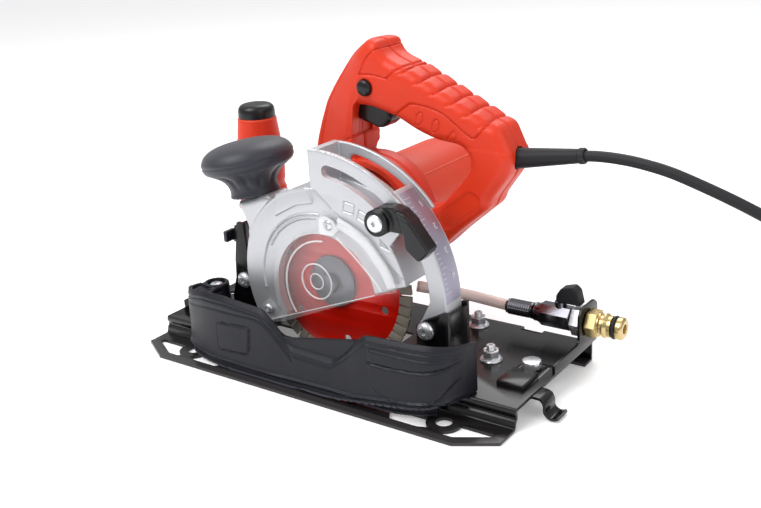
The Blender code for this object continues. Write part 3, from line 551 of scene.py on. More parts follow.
def dressed(look, *nodes, edge=0.25):
    """A CAD node that stays: welded, with softened edges and a finished material."""
    for node in nodes:
        obj = frame["nodes"][node]
        finished(obj, look, 35)
        weld = obj.modifiers.new("weld", "WELD")
        weld.merge_threshold = 0.00001
        if edge:
            soft = obj.modifiers.new("edge", "BEVEL")
            soft.width = edge * MM
            soft.segments = 2
            soft.limit_method = "ANGLE"
            soft.angle_limit = math.radians(40)


# ---------------------------------------------------------------- base


def base_plate():
    """Pressed sheet: flange, ribbed wall, deck and far wall with its foot turned in."""
    profile = rounded([
        (-57, 2), (-24.8, 2), (-23.9, 6.4), (-22.3, 7.8), (-22.3, 9.8), (-23.6, 11.4), (-22.8, 15),
        (87.8, 15), (87.8, 0), (76, 0),
    ], 1.5, 4, closed=False)
    shell = plate("base_shell", [strip(profile, 2.0)], -HALF_BASE, HALF_BASE, "YZ", 0.25, 1)
    flange, deck = (-3, 6), (9, 20)
    cuts = []
    for side in (-1, 1):
        hole = (side * FLANGE_HOLE[0], FLANGE_HOLE[1])
        turn = 0 if side > 0 else 180
        outer = arc(hole, 11.5, turn + side * 8, turn - side * 77, 14)
        outer += [(side * x, y) for x, y in ((112, -50.6), (121.5, -50.6), (142.8, -38.6), (142, -35.8))]
        inner = arc(hole, 11.5, turn - side * 115, turn - side * 177, 14)
        inner += [(side * x, y) for x, y in ((68, -38), (75.4, -50.4), (95.5, -50.4))]
        chamfer = ((124.4, -57), (150, -42.4), (162, -42.4), (162, -62), (124.4, -62))
        corner = [(side * x, y) for x, y in chamfer]
        loops = (corner, rounded(outer, 1.2, 3), rounded(inner, 1.2, 3), circle(hole, 5.4))
        cuts += [(loop, flange) for loop in loops]
    opening = [(-64, -7), (64, -7), (64, 7), (36, 7), (36, 40), (-36, 40), (-36, 7), (-64, 7)]
    cuts += [
        (rounded(opening, 3), deck),
        (rounded([(123.5, -1), (143.5, -1), (143.5, 40), (123.5, 40)], 1.5), deck),
        ([(-152, -2.5), (-139, -0.6), (-139, 0.6), (-152, 2.5)], deck),
        (rounded([(98, 81), (114, 81), (114, 92), (98, 92)], 1.5), deck),
        ([(60, 74), (152, 74), (152, 92), (60, 92)], flange),
        (circle((-137.5, 36), 3.0), deck),
    ]
    cutters = [plate("cutter", [loop], *depth, "XY", 0.02) for loop, depth in cuts]
    shell = cut(shell, *cutters)
    tab = rounded([
        (30, 13.4), (95, 13.4), (95, 41), (90, 45), (71, 45), (67, 40), (67, 23), (64, 21), (30, 21),
    ], 1.6)
    wall = plate("tab", [tab, circle(WATER, 7.0)], HALF_BASE - 2, HALF_BASE, "YZ", 0.4)
    hook_line = [
        (HALF_BASE - 5, DECK_TOP - 1), (HALF_BASE + 5.5, DECK_TOP - 1.2), (HALF_BASE + 9.0, 9.5),
        (HALF_BASE + 9.5, 4.5), (HALF_BASE + 13, 2.2), (HALF_BASE + 17, 3.4),
    ]
    hook = plate("hook", [strip(spline(hook_line, 6), 2.0)], -2, 12, "XZ", 0.4)
    base = join(shell, wall, hook)
    base.name = "base_pressing"
    return shown(base, "black_steel", "base", "black_steel", "base_plate", angle=30)


SKIRT_PATH = [
    (-118.6, -13.5, 15.7, 45), (-118.6, -20, 15.7, 46), (-117.2, -27.5, 2.3, 47), (-108, -36.5, 2.3, 49),
    (-88, -43.5, 2.3, 54), (-64, -47, 2.3, 55.5), (-31, -47.3, 2.3, 53), (-17, -47.3, 2.3, 41),
    (-6, -47.3, 2.3, 30.5), (29, -47.3, 3.2, 29.6), (42, -47.3, 4.6, 39.5), (56.5, -47.3, 6.4, 52.6),
    (96, -46, 12, 54), (110.5, -39, 15.7, 53), (117, -28, 15.7, 52), (118.6, -20, 15.7, 50.5),
    (118.6, -13.5, 15.7, 49),
]


def splash_skirt():
    """Moulded wall with a bead along its top, a foot band, raised panels and a screwed ear."""
    flat = spline([(p[0], p[1], 0) for p in SKIRT_PATH], 6)
    heights = []
    for a, b in zip(SKIRT_PATH, SKIRT_PATH[1:]):
        heights += [(a[2] + (b[2] - a[2]) * k / 6, a[3] + (b[3] - a[3]) * k / 6) for k in range(6)]
    heights.append(SKIRT_PATH[-1][2:])
    levels = 13
    spots, faces = [], []
    for (x, y, _), (low, top) in zip(flat, heights):
        spread = 3.2 * max(0.0, min(1.0, (-y - 27.5) / 12))
        for k in range(levels):
            t = k / (levels - 1)
            z = low + (top - low) * t
            slope = 0.75 * max(0.0, z - top + 4.6) * spread / 3.2
            spots.append((x * MM, (y - spread * (1 - t) ** 1.6 + slope) * MM, z * MM))
    for i in range(len(flat) - 1):
        for k in range(levels - 1):
            a, b = i * levels + k, (i + 1) * levels + k
            faces.append((a, b, b + 1, a + 1))
    mesh = bpy.data.meshes.new("skirt_wall")
    mesh.from_pydata(spots, [], faces)
    wall = linked("skirt_wall", mesh)
    wall.matrix_world = world(UNTURNED)
    thick = wall.modifiers.new("wall", "SOLIDIFY")
    thick.thickness = 2.8 * MM
    thick.offset = -1.0
    wall = tidy(baked(wall))
    boss = (-107, -9)
    ear = rounded([(-118.4, -17), (-101, -11), (-99, -38.6), (-108.5, -36), (-117.5, -27)], 2)
    inner = [
        (-34, 4), (-34, 47), (-25, 46), (-17, 37.5), (-11, 35.2), (51, 47.2), (60, 47.5), (60, 8),
    ]
    web = strip(spline([(38, -46), (60, -47), (74, -46.6), (86, -43.6), (96, -39), (101, -34)], 4), -2.2)
    parts = [
        wall,
        plate("ear", [ear], 36.5, 43.5, "XY", 1.0),
        turned("boss", [(0, 46), (8.8, 46), (9.6, 45.2), (10.2, 15.6), (0, 15.6)], (*boss, 0), "Z"),
        plate("inner_wall", [rounded(inner, 3)], -43.6, -40.8, "XZ", 0.5),
        plate("foot_web", [web], 2.8, 20, "XY", 0.4),
        box("left_return", (-35, -31.5), (-46, -41), (4, 44), 0.6),
        box("right_return", (57, 60.5), (-46, -41), (4, 44), 0.6),
    ]
    skirt = skinned(merged("splash_skirt_moulding", parts), 0.75, 3)
    panel = rounded([(-71, 16), (-71, 36), (-40, 38), (-42, 18)], 3)
    right_groove = spline([(60, 35.8), (81.8, 36.1), (100.8, 37.6), (116, 41)], 5)
    right_arc = spline([
        (59.5, 24.9), (66.2, 17.5), (80.4, 14.6), (98, 15.7), (108, 19.5), (113.5, 27), (117, 31),
    ], 5)
    left_crease = spline([
        (-112, 40), (-100, 41), (-80, 44.5), (-50, 45.5), (-30, 44.5), (-16, 34), (-4, 22),
    ], 4)

    foot = ((-90, -15, 46, 98, 118), (9.6, 8.6, 9.9, 16.7, 19))
    swell = right_arc + [(117, 45), (60, 45)]

    crown = ([p[0] for p in SKIRT_PATH[1:-1]], [p[3] for p in SKIRT_PATH[1:-1]])

    def relief(x, y, z, normal):
        front = ramp(-normal[:, 1], 0.25, 0.6)
        over = z - np.interp(x, *foot)
        lift = 1.3 * np.exp(-(over / 1.1) ** 2) * front - 1.6 * (1 - ramp(over, -2.2, -0.6)) * front
        lift -= 0.8 * np.exp(-((z - np.interp(x, *crown) + 5.0) / 0.8) ** 2) * front
        lift += 0.8 * raised(x, z, panel) * front
        lift -= 0.6 * line(x, z, panel, 0.6, True) * front
        lift -= 1.3 * line(x, z, right_groove, 0.8) * front
        lift += 1.2 * raised(x, z, swell, 1.2) * front
        lift -= 0.7 * line(x, z, left_crease, 0.9) * front
        return lift

    skirt = sculpt(skirt, relief)
    bore = [(0, 50), (6.8, 50), (6.8, 42.5), (3.4, 42.5), (3.4, 10), (0, 10)]
    skirt = cut(skirt, turned("bore", bore, (*boss, 0), "Z", 40))
    shown(skirt, "dark_plastic", "base", "dark_plastic", "splash_skirt", angle=60)
    outline = rounded([(-91, 14), (-91, 26), (-81, 27), (-81, 16)], 1.2)
    clip = plate("skirt_clip", [outline], -43.6, -39.4, "XZ", 0.7)
    clip.data.transform(Matrix.Translation(Vector((0, 0.0006, 0))))
    shown(clip, "hub_grey", "base", "dark_plastic")
    screw_head("skirt_bolt", (boss[0], boss[1]), 42.8, "Z", 5.6, 3.0, 15.8, "base", "skirt_screw")


def screw_head(name, spot, seat, axis, radius, shank, end, body, node):
    """Button-head screw with a six-lobed socket; it points along +axis, its head at seat."""
    rise = radius * 0.52
    profile = [(0, rise)]
    for k in range(1, 9):
        angle = math.radians(90 - 90 * k / 8)
        profile.append((radius * math.cos(angle), rise * math.sin(angle)))
    profile += [(radius, -0.3), (shank, -0.3), (shank, -abs(seat - end)), (0, -abs(seat - end))]
    if axis == "Z":
        matrix = world(TURNED_ALONG["Z"], spot[0], spot[1], seat)
        socket = plate("socket", [torx(spot, radius * 0.42)], seat + rise * 0.35, seat + rise + 3, "XY", 0.02)
    else:
        matrix = world(TOWARDS_VIEWER, spot[0], seat, spot[1])
        socket = plate("socket", [torx(spot, radius * 0.42)], seat - rise - 3, seat - rise * 0.35, "XZ", 0.02)
    head = cut(turned(name, profile, matrix=matrix, steps=48), socket)
    return shown(head, "zinc", body, "zinc", *([node] if node else []), angle=30)


def brackets():
    dressed("black_steel", "front_bracket", "rear_clevis", "rail_clip", edge=0.5)
    dressed("zinc", "clip_screw", "clevis_pin", "front_pivot_pin", edge=0.2)
    dressed("dark_plastic", "lock_wing_nut", edge=0.8)
    for name, (x, y) in DECK_STUDS.items():
        washer = [(3.3, 17.2), (5.4, 17.4), (6.8, 16.9), (7.6, 15.9), (7.6, 15.3), (3.3, 15.3), (3.3, 17.2)]
        hex_part = plate("hex", [hexagon((x, y), 10.0), circle((x, y), 3.3, 32)], 16.4, 22.6, "XY", 0.7, 3)
        stud = [(0, 24.8), (1.2, 24.8), (1.4, 26), (2.4, 26)]
        stud += [(2.85 + 0.15 * math.cos(math.pi * k), 25.4 - 0.35 * k) for k in range(9)]
        stud += [(3.0, 14), (0, 14)]
        turnings = [turned("part", profile, (x, y, 0), "Z", 48) for profile in (washer, stud)]
        nut = merged(name + "_nut", [hex_part, *turnings])
        shown(nut, "zinc", "base", "zinc", name)


def water_fitting():
    end = HALF_BASE
    spot = (0, WATER[0], WATER[1])
    block = plate("block", [arc(WATER, 8.6, 22.5, 337.5, 8)], 116, end - 11, "YZ", 1.0, 3)
    sleeve = [
        (0, end + 7), (6.0, end + 7), (6.0, end - 11), (7.4, end - 11.4), (7.4, 115.5), (6.6, 114.1),
        (6.6, 111.5), (5.4, 110.3), (0, 110.3),
    ]
    neck = turned("neck", [(0, 43.2), (4.2, 43.2), (4.2, 38), (0, 38)], (130, WATER[0], 0), "Z", 40)
    body = merged("water_valve", [block, turned("sleeve", sleeve, spot, "X"), neck])
    shown(body, "dark_chrome", "base", "zinc", "valve_body")
    lever = rounded([(128, 43.6), (128, 48.5), (131.5, 54), (140, 56.4), (143.6, 53.6), (146, 43.6)], 1.2)
    low, high = WATER[0] - 4.4, WATER[0] + 4.4
    wedge = plate("water_lever_wedge", [lever], low, high, "XZ", 1.0, 3)
    shown(wedge, "rubber", "water_lever", "rubber", "valve_lever")
    nut = plate("fitting_nut", [hexagon(WATER, 19.0), circle(WATER, 6.3)], end - 10, end - 2.3, "YZ", 1.0, 3)
    shown(nut, "zinc", "base", "zinc", "valve_nut")
    flats = plate("flats", [hexagon(WATER, 17.0), circle(WATER, 6.3)], end + 0.4, end + 8.6, "YZ", 0.8, 3)
    profile = rounded([
        (6.3, end + 8), (3.2, end + 8), (3.2, end + 26), (5.9, end + 26.2), (7.6, end + 25),
        (7.6, end + 21.4), (6.0, end + 21.0), (6.0, end + 18.2), (7.6, end + 17.8), (7.2, end + 15.4),
        (8.5, end + 13.4), (8.5, end + 12.6), (6.8, end + 12.2), (6.8, end + 10),
        (8.2, end + 9.4), (8.2, end + 8.2),
        (6.3, end + 8),
    ][:-1], 0.35, 2)
    body = turned("tail", profile + profile[:1], spot, "X")
    shown(merged("hose_connector", [flats, body]), "brass", "base", "brass", "quick_connector")
    round_trip = np.linspace(0, -2 * math.pi, 17)
    seal = [(7.05 + 0.95 * math.cos(t), end + 19.6 + 1.2 * math.sin(t)) for t in round_trip]
    shown(turned("connector_seal", seal, spot, "X"), "rubber", "base", "rubber", "connector_o_ring")
    crimp = [(4.4, 109.8), (5.9, 109.8)]
    crimp += [(5.5 + 0.35 * math.cos(math.pi * k), 108.5 - k * 0.85) for k in range(22)]
    crimp += [(5.2, 89.5), (4.4, 89.5), (4.4, 109.8)]
    shown(turned("crimp_sleeve", crimp, spot, "X"), "dark_chrome", "base", "steel", "hose_ferrule")
    path = [
        (109, 80, 32), (95, 80, 32), (85, 79.5, 32.6), (74, 77, 34.5), (62, 70, 38.5), (50, 58, 44),
        (36, 46, 49),
    ]
    hose = tube("supply_hose", path, 4.0, 10, 5)
    hose.data.materials.append(LOOKS["hose"])
    hose.data.shade_smooth()
    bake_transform(hose)
    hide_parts("water_hose")


# ---------------------------------------------------------------- depth arm and clamp


def depth_arm():
    edge = arc(BLADE_AXIS, 94.4, -3, 51, 60) + arc(BLADE_AXIS, 82.6, 51, 50, 2)
    edge += arc(CLAMP, 6.5, 150, 300, 12) + arc(BLADE_AXIS, 82.6, 40, 2, 40)
    edge += arc(REAR_PIVOT, 7.0, 150, 345, 20)
    loops = [edge, circle(REAR_PIVOT, 3.4), circle(CLAMP, 3.4)]
    arm = plate("depth_arm", loops, -10, 10, "XZ", 1.0, 3)
    shown(arm, "cast_aluminium", "arm", "cast_aluminium", "depth_quadrant", angle=25)
    face = plate("scale_face", [arc_slot(BLADE_AXIS, 94.3, 0.32, 2, 49, 60)], -8.4, 8.4, "XZ", 0.15, 1)
    shown(face, "scale_aluminium", "arm", "cast_aluminium")
    ticks = []
    for i in range(21):
        degrees = 6 + 2 * i
        reach = 6.0 if i % 5 == 0 else 3.2
        mark = box("tick", (-0.22, 0.22), (-8, -8 + reach), (-0.3, 0.22), 0.06, 1)
        turn = Matrix.Rotation(math.radians(90 - degrees), 3, "Y")
        x, z = polar(BLADE_AXIS, 94.6, degrees)
        ticks.append(placed(mark, turn, x, 0, z))
    for degrees, value in ((12, "4"), (22, "3"), (32, "2"), (42, "1")):
        drawn = bpy.data.curves.new("numeral", "FONT")
        drawn.body = value
        drawn.size = 6.2 * MM
        drawn.align_x = drawn.align_y = "CENTER"
        drawn.extrude = 0.3 * MM
        numeral = linked("numeral", drawn)
        x, z = polar(BLADE_AXIS, 94.7, degrees)
        flat = Matrix.Rotation(math.radians(90 - degrees), 3, "Y")
        flat = flat @ Matrix.Rotation(math.radians(-90), 3, "Z")
        numeral.matrix_world = world(flat, x, 3.2, z)
        ticks.append(baked(numeral))
    shown(merged("scale_ticks", ticks), "cast_aluminium", "arm", "cast_aluminium")
    cap = cut(
        turned("cap", [(0, 31.8), (5.0, 31.8), (5.7, 31.2), (5.8, 29.4), (3.0, 29.4), (3.0, -9.4), (0, -9.4)],
               matrix=world(TOWARDS_VIEWER, CLAMP[0], 0, CLAMP[1])),
        plate("socket", [torx(CLAMP, 1.9)], -34, -30.4, "XZ", 0.02),
    )
    shown(cap, "zinc", "arm", "zinc", "clamp_screw")
    clamp_lever()


def clamp_lever():
    """Hub with a cranked finger wing."""
    x, z = CLAMP
    shank = rounded([
        (x - 2, z + 8.4), (x + 9, z + 10.4), (x + 15, z + 9.6), (x + 24, z + 2.5), (x + 20, z - 5),
        (x + 4, z - 5), (x - 2, z - 7),
    ], 2)
    finger = rounded([
        (x + 13, z + 8.5), (x + 23.5, z + 3.4), (x + 37, z - 13.2), (x + 29, z - 21.5), (x + 19.5, z - 14.5),
        (x + 18.6, z - 6),
    ], 2)
    hub = [(5.9, 31.2), (7.6, 31.2), (8.6, 30.2), (8.7, 14.6), (3.3, 14.6), (3.3, 29), (5.9, 29), (5.9, 31.2)]
    parts = [
        turned("hub", hub, matrix=world(TOWARDS_VIEWER, x, 0, z)),
        plate("shank", [shank, circle(CLAMP, 6.6)], -26.5, -16.5, "XZ", 1.4, 3),
        plate("finger", [finger], -28.5, -17.0, "XZ", 1.2, 3),
    ]
    lever = skinned(merged("clamp_handle", parts), 0.6, 2)
    fold = [(x + 12, z + 10), (x + 18.6, z - 6)]

    def relief(a, y, b, normal):
        front = ramp(-normal[:, 1], 0.4, 0.8)
        return -0.5 * line(a, b, fold, 0.8) * front

    shown(sculpt(lever, relief), "button_plastic", "clamp_lever", "dark_plastic", "depth_lever", angle=40)


# ---------------------------------------------------------------- guard


def guard_outline():
    loop = arc(BLADE_AXIS, GUARD_R, 213.5, 92.5, 70)
    loop += arc(BLADE_AXIS, ARCH_R, 92.0, 38.5, 40)
    return loop + arc(BLADE_AXIS, GUARD_R, 34, 10, 14)


def blade_guard():
    """Casting: disc cover, raised arch with the clamp's slot, far wall, rim, pivot lug and knob neck."""
    opening = arc(WINDOW_CENTRE, 42.0, 210, 20, 60) + [(43.5, 66), (46, 55), (-36, 22)]
    cover = arc(BLADE_AXIS, GUARD_R, 213.5, 10, 100)
    near = plate("near_wall", [guard_outline()], NEAR_FACE, -10.8, "XZ", 0.9, 3)
    lip = plate("lip", [cover], NEAR_FACE, -8.0, "XZ", 2.6, 5)
    near = merged("near", [near, lip])
    arch_slot = arc_slot(BLADE_AXIS, 83.5, 4.8, 53, 80, 30)
    far_loops = [guard_outline(), arch_slot, circle(BLADE_AXIS, 20)]
    far = plate("far_wall", far_loops, 11.2, FAR_FACE, "XZ", 0.9, 3)
    rim = arc(BLADE_AXIS, GUARD_R, 213, 10.5, 90) + arc(BLADE_AXIS, GUARD_R - 3.2, 10.5, 213, 90)
    bridge = arc(BLADE_AXIS, ARCH_R, 92, 88.6, 4) + arc(BLADE_AXIS, GUARD_R - 1, 88.6, 92, 4)
    lug = arc(FRONT_PIVOT, 8.5, 100, 260, 24) + [(-66, 44), (-63, 62)]
    neck = [(-74.2, 113.0), (-46.6, 121.4)] + arc(BLADE_AXIS, GUARD_R - 1.5, 126, 166, 20)
    neck += [(-65.6, 84), (-66.6, 96)]
    parts = [
        near, far,
        plate("rim", [rim], NEAR_FACE + 0.6, FAR_FACE - 0.6, "XZ", 0.4, 2),
        plate("bridge", [bridge], NEAR_FACE + 0.6, FAR_FACE - 0.6, "XZ", 0.6, 2),
        plate("lug", [lug], 1.9, 13.8, "XZ", 1.2, 3),
        plate("neck", [rounded(neck, 1.5)], -12.5, 12.5, "XZ", 4.5, 5),
    ]
    guard = merged("guard", parts)
    guard = skinned(guard, 0.55, 2, 0.45)
    wedge = rounded([(-37, 108), (-34.5, 126), (-7, 133), (-0.5, 122.5), (-16, 119.2)], 3)
    squares = [
        rounded([(22.4, 120.4), (23.4, 126.9), (32.0, 125.6), (30.6, 119.4)], 0.8),
        rounded([(33.4, 117.2), (35.0, 122.8), (42.6, 119.8), (40.2, 114.6)], 0.8),
    ]
    arrow = [(50.4, 105.2), (58.3, 98.4), (50.6, 100.8)]
    crest = arc(BLADE_AXIS, 51.5, 88, 190, 40)
    inner_crest = arc(BLADE_AXIS, 48.6, 92, 150, 30)
    shoulder = spline([(-6.3, 134.5), (3, 129), (12.7, 121.3)], 6)

    def relief(x, y, z, normal):
        face = ramp(-normal[:, 1], 0.3, 0.7) * (y < -11.5)
        radius, degrees = from_axis(x, z, BLADE_AXIS)
        bulge = np.clip((radius - 44) / 23, 0, 1)
        left = ramp(degrees, 60, 100) * (1 - ramp(degrees, 208, 214))
        lift = 1.2 * np.sin(math.pi * bulge) * left * face
        lift += 1.2 * line(x, z, crest, 0.6) * face
        lift += 0.9 * line(x, z, inner_crest, 0.6) * face
        lift += 1.5 * raised(x, z, wedge, 0.8) * face
        beyond = ((x + 6.3) * 14.2 + (z - 135.5) * 19) / 23.7
        lift += 1.3 * ramp(beyond, -0.3, 0.3) * (radius > 46) * face
        lift -= 0.7 * line(x, z, shoulder, 0.8) * face
        for mark in squares:
            lift -= 1.0 * line(x, z, mark, 0.45, True) * face
        lift -= 1.0 * line(x, z, arrow, 0.45, True) * face
        return lift

    guard = sculpt(guard, relief)
    slot = arc_slot(BLADE_AXIS, SLOT_R, 4.4, 43.7, 82.0, 30)
    guard = cut(
        guard,
        plate("slot", [slot], -20, -6, "XZ", 0.02),
        plate("opening", [opening], -20, -6, "XZ", 0.02),
        plate("bore", [circle(FRONT_PIVOT, 4.4)], -2, 20, "XZ", 0.02),
    )
    shown(guard, "cast_aluminium", "head", "cast_aluminium", "blade_guard", angle=50)


def guard_window():
    """Clear cover: plate, stiffening ribs, two raised rings and the thick band along its outer edge; ribs,
    rings and band are drawn whiter and more opaque than the cover, a painted glint.
    """
    outline = arc(WINDOW_CENTRE, 44.0, 211, 100, 50) + [
        (0.6, 104), (1.8, 115.5), (7.2, 118.6), (15.8, 117.4), (30, 112.4), (42.8, 105.2), (52.5, 94.6),
        (58.3, 86.8), (63.2, 76), (61.4, 71.6), (46.4, 66.8), (-36, 31.6), (-50, 28.6), (-55, 41), (-48, 47),
    ]
    holes = [circle(spot, 1.9, 24) for spot in WINDOW_SCREWS.values()]
    front = NEAR_FACE - 3.0
    clear = plate("clear_cover", [outline] + holes, front, NEAR_FACE - 1.4, "XZ", 0.3, 2)
    shown(clear, "clear_plastic", "head", "clear_plastic", "guard_window", angle=30)
    rib = [(x, front - 0.1, z) for x, z in arc((6, 62), 35.5, 215, 92, 30)]
    rim = spline([(20, 115), (30, 111.4), (42, 104.2), (51.4, 93.8), (57.3, 86), (61.8, 76.2)], 5)
    bead = [(x, front - 0.8, z) for x, z in rim]
    channel = [(x, front - 0.2, z) for x, z in spline([(17, 102), (31, 91), (43, 79.5), (51, 70.5)], 6)]
    rings = []
    for radius, thickness in ((12.5, 0.6), (5.5, 0.5)):
        loop = circle((-2.5, 68), radius)
        rings.append(tube("ring", [(x, front - 0.2, z) for x, z in loop + loop[:1]], thickness, 0))
    foot = [(-47, front - 0.1, 31.2), (45, front - 0.1, 66.8)]
    parts = [
        tube("rib", rib, 0.7, 0), tube("bead", bead, 1.3, 0), tube("channel", channel, 0.7, 0),
        plate("band", [strip(rim, 6.0)], -18.4, -16.8, "XZ", 0.4, 2),
        *rings, tube("foot", foot, 0.4, 0),
        plate("pad", [rounded([(3.4, 103), (4.4, 113.6), (8, 116), (15, 114), (20, 108.6), (15, 103)], 1.5),
                      circle(WINDOW_SCREWS["upper"], 3.6, 24)], -18.6, -16.8, "XZ", 0.5, 2),
    ]
    # Ribs, rings, band and pad take the whiter clear finish: painted glint of clear plastic edges.
    shown(merged("clear_ribs", parts), "clear_rib_glint", "head", "clear_plastic", angle=40)
    for tag, spot in WINDOW_SCREWS.items():
        screw = ("window_bolt_" + tag, spot, front - 0.3, "Y", 3.5, 1.5, -11.2)
        screw_head(*screw, "head", "window_screw_" + tag)


def front_knob():
    """Rubber mushroom knob, leaning forward on the guard's neck."""
    profile = [(0, 39)] + spline([
        (4, 38.9), (13, 38.5), (23, 36.6), (29.6, 33.0), (32.6, 28.2), (32.8, 25.0),
    ], 4)
    profile += spline([
        (32.2, 22.4), (30.4, 20.2), (26.4, 17.6), (21, 14), (17.6, 9), (17, 4.6), (17.8, 1.6),
    ], 4)
    profile += [(17.6, 0.6), (0, 0.6)]
    lean = world(Matrix.Rotation(math.radians(-10.5), 3, "Y"), -66.0, 0, 116.4)
    knob = turned("knob_grip", profile, matrix=lean, steps=120)
    knob = skinned(knob, 0.8, 2)
    back = lean.inverted()

    def relief(x, y, z, normal):
        spots = np.stack([x * MM, (y + BLADE_Y) * MM, z * MM, np.ones_like(x)])
        a, b, height, _ = np.array(back) @ spots / MM
        turn = np.arctan2(b, a)
        radius = np.hypot(a, b)
        seam = np.exp(-((height - 25.6) / 0.6) ** 2) * (radius > 30)
        flute = ramp(height, 6, 9) * (1 - ramp(height, 17, 21))
        return -0.6 * seam - 0.9 * flute * (0.5 + 0.5 * np.cos(turn * 12)) ** 2

    shown(sculpt(knob, relief), "knob_rubber", "head", "dark_plastic", "knob", angle=60)


# ---------------------------------------------------------------- disc and drive


def disc():
    holes = [circle(polar(BLADE_AXIS, 43.0, 60 * i - 20), 3.0, 24) for i in range(6)]
    loops = [circle(BLADE_AXIS, 54.0, 160), circle(BLADE_AXIS, 10.4)] + holes
    core = plate("disc_core", loops, -0.9, 0.9, "XZ", 0.15, 1)
    shown(core, "blade_red", "spindle", "blade_red", "blade", angle=30)
    segments, parts = 48, []
    step = 360 / segments
    for i in range(segments):
        start = i * step
        loop = arc(BLADE_AXIS, 62.5, start + 0.7, start + step - 0.7, 4)
        loop += arc(BLADE_AXIS, 53.4, start + step - 1.6, start - 0.2, 4)
        parts.append(plate("segment", [loop], -1.15, 1.15, "XZ", 0.15, 1))
    shown(merged("disc_rim", parts), "blade_rim", "spindle", "blade_red", angle=30)
    dressed("hub_grey", "outer_flange", "inner_flange", "blade_bolt", edge=0.3)
    dressed("steel", "spindle", "drive_gear", "armature_shaft", "pinion", "spindle_bearing",
            "spindle_rear_bearing", "armature_front_bearing", "armature_rear_bearing", "stator", edge=0)
    dressed("copper", "armature_core", "commutator", edge=0)
    dressed("button_plastic", "cooling_fan", "switch_body", edge=0)
    dressed("carbon", "brush_front", "brush_rear", edge=0)
    dressed("cast_aluminium", "gear_housing", "bearing_plate", edge=0.8)


def motor_housing():
    """Moulded can with a parting ridge, cooling slots round its end and two brush caps."""
    spot = (MOTOR_AXIS[0], 0, MOTOR_AXIS[1])
    profile = [(0, 150)] + spline([(12, 150), (24, 149.6), (30.5, 147.6), (34, 144), (35, 139)], 5)
    profile += [(MOTOR_R, 35), (MOTOR_R - 3, 35), (MOTOR_R - 3, 140), (0, 140)]
    can = turned("motor_can", profile, spot, "Y", 128)
    ridges = []
    for degrees in (45, 225):
        x, z = polar(MOTOR_AXIS, MOTOR_R, degrees)
        ridges.append(tube("ridge", [(x, 36, z), (x, 142, z)], 0.6, 0))
    slots = []
    for i in range(16):
        slot = box("slot", (-1.2, 1.2), (-4, 6), (13, 26), 0.9, 3)
        turn = Matrix.Rotation(math.radians(22.5 * i), 3, "Y")
        slots.append(placed(slot, turn, MOTOR_AXIS[0], 148, MOTOR_AXIS[1]))
    can = cut(can, merged("slots", slots))
    casing = merged("motor_casing", [can, *ridges])
    shown(casing, "red_plastic", "head", "red_plastic", "motor_housing", angle=30)
    for tag, side in (("front", -1), ("rear", 1)):
        outward = TURNED_ALONG["X"]
        if side < 0:
            outward = outward @ Matrix.Rotation(math.pi, 3, "Y")
        cap = cut(
            turned("brush_cap_" + tag, [(0, 1.6), (6.0, 1.6), (6.8, 0.8), (6.8, -3), (0, -3)],
                   matrix=world(outward, MOTOR_AXIS[0] + side * MOTOR_R, 106, MOTOR_AXIS[1])),
            box("slit", (MOTOR_AXIS[0] + side * 36.0 - 1, MOTOR_AXIS[0] + side * 36.0 + 1.2), (100, 112),
                (MOTOR_AXIS[1] - 0.7, MOTOR_AXIS[1] + 0.7), 0.1, 1),
        )
        shown(cap, "button_plastic", "head", "red_plastic", angle=30)


# ---------------------------------------------------------------- handles


FRONT_LEG = [
    (-52.4, 137), (-49.4, 148), (-45, 160), (-38.5, 175), (-31, 186), (-21.5, 198), (-12, 209), (-3, 216),
    (6, 221),
]
LEG_EDGE = ([107] + [z for _, z in FRONT_LEG], [-41] + [x for x, _ in FRONT_LEG])
LEG_INSET = ((100, 120, 137, 163, 180, 194, 206, 217, 221), (4, 22, 38, 34, 28, 23, 17, 9, 5))


def handle_loops():
    outer = FRONT_LEG + [
        (16.5, 220.5), (19, 214), (26, 209), (38, 204.5), (99, 173), (107, 170.5), (116, 151),
        (112.6, 139), (100, 122), (98, 116), (73, 95), (56, 79),
    ]
    outer += arc(MOTOR_AXIS, MOTOR_R + 8, 325, 165, 60)
    opening = arc(MOTOR_AXIS, MOTOR_R + 10, 14, 98, 30) + [
        (-7, 160), (-6, 171), (-4, 177), (10, 176.4), (28, 171.5), (46, 162.6), (60, 158), (78, 156),
        (85, 151), (86, 143), (80, 134), (62, 113),
    ]
    return rounded(outer, 4), rounded(opening, 5)


def leg_wedge(mesh):
    """Slopes the front leg back from its parting line to a narrow face on each side."""
    spots = read_spots(mesh)
    x, y, z = spots.T / MM
    lean = np.clip(np.abs(y - BLADE_Y - HANDLE_Y) / HANDLE_HALF, 0, 1) ** 1.1
    low = np.interp(z, *LEG_EDGE)
    high = np.interp(z, (150, 177, 190, 205, 221), (-4, 0, 18, 24, 22))
    left = 1 - np.clip((x - low) / (high - low), 0, 1)
    clear = ramp(from_axis(x, z, MOTOR_AXIS)[0], MOTOR_R + 8, MOTOR_R + 18)
    spots[:, 0] += np.interp(z, *LEG_INSET) * lean * left * clear * MM
    write_spots(mesh, spots)


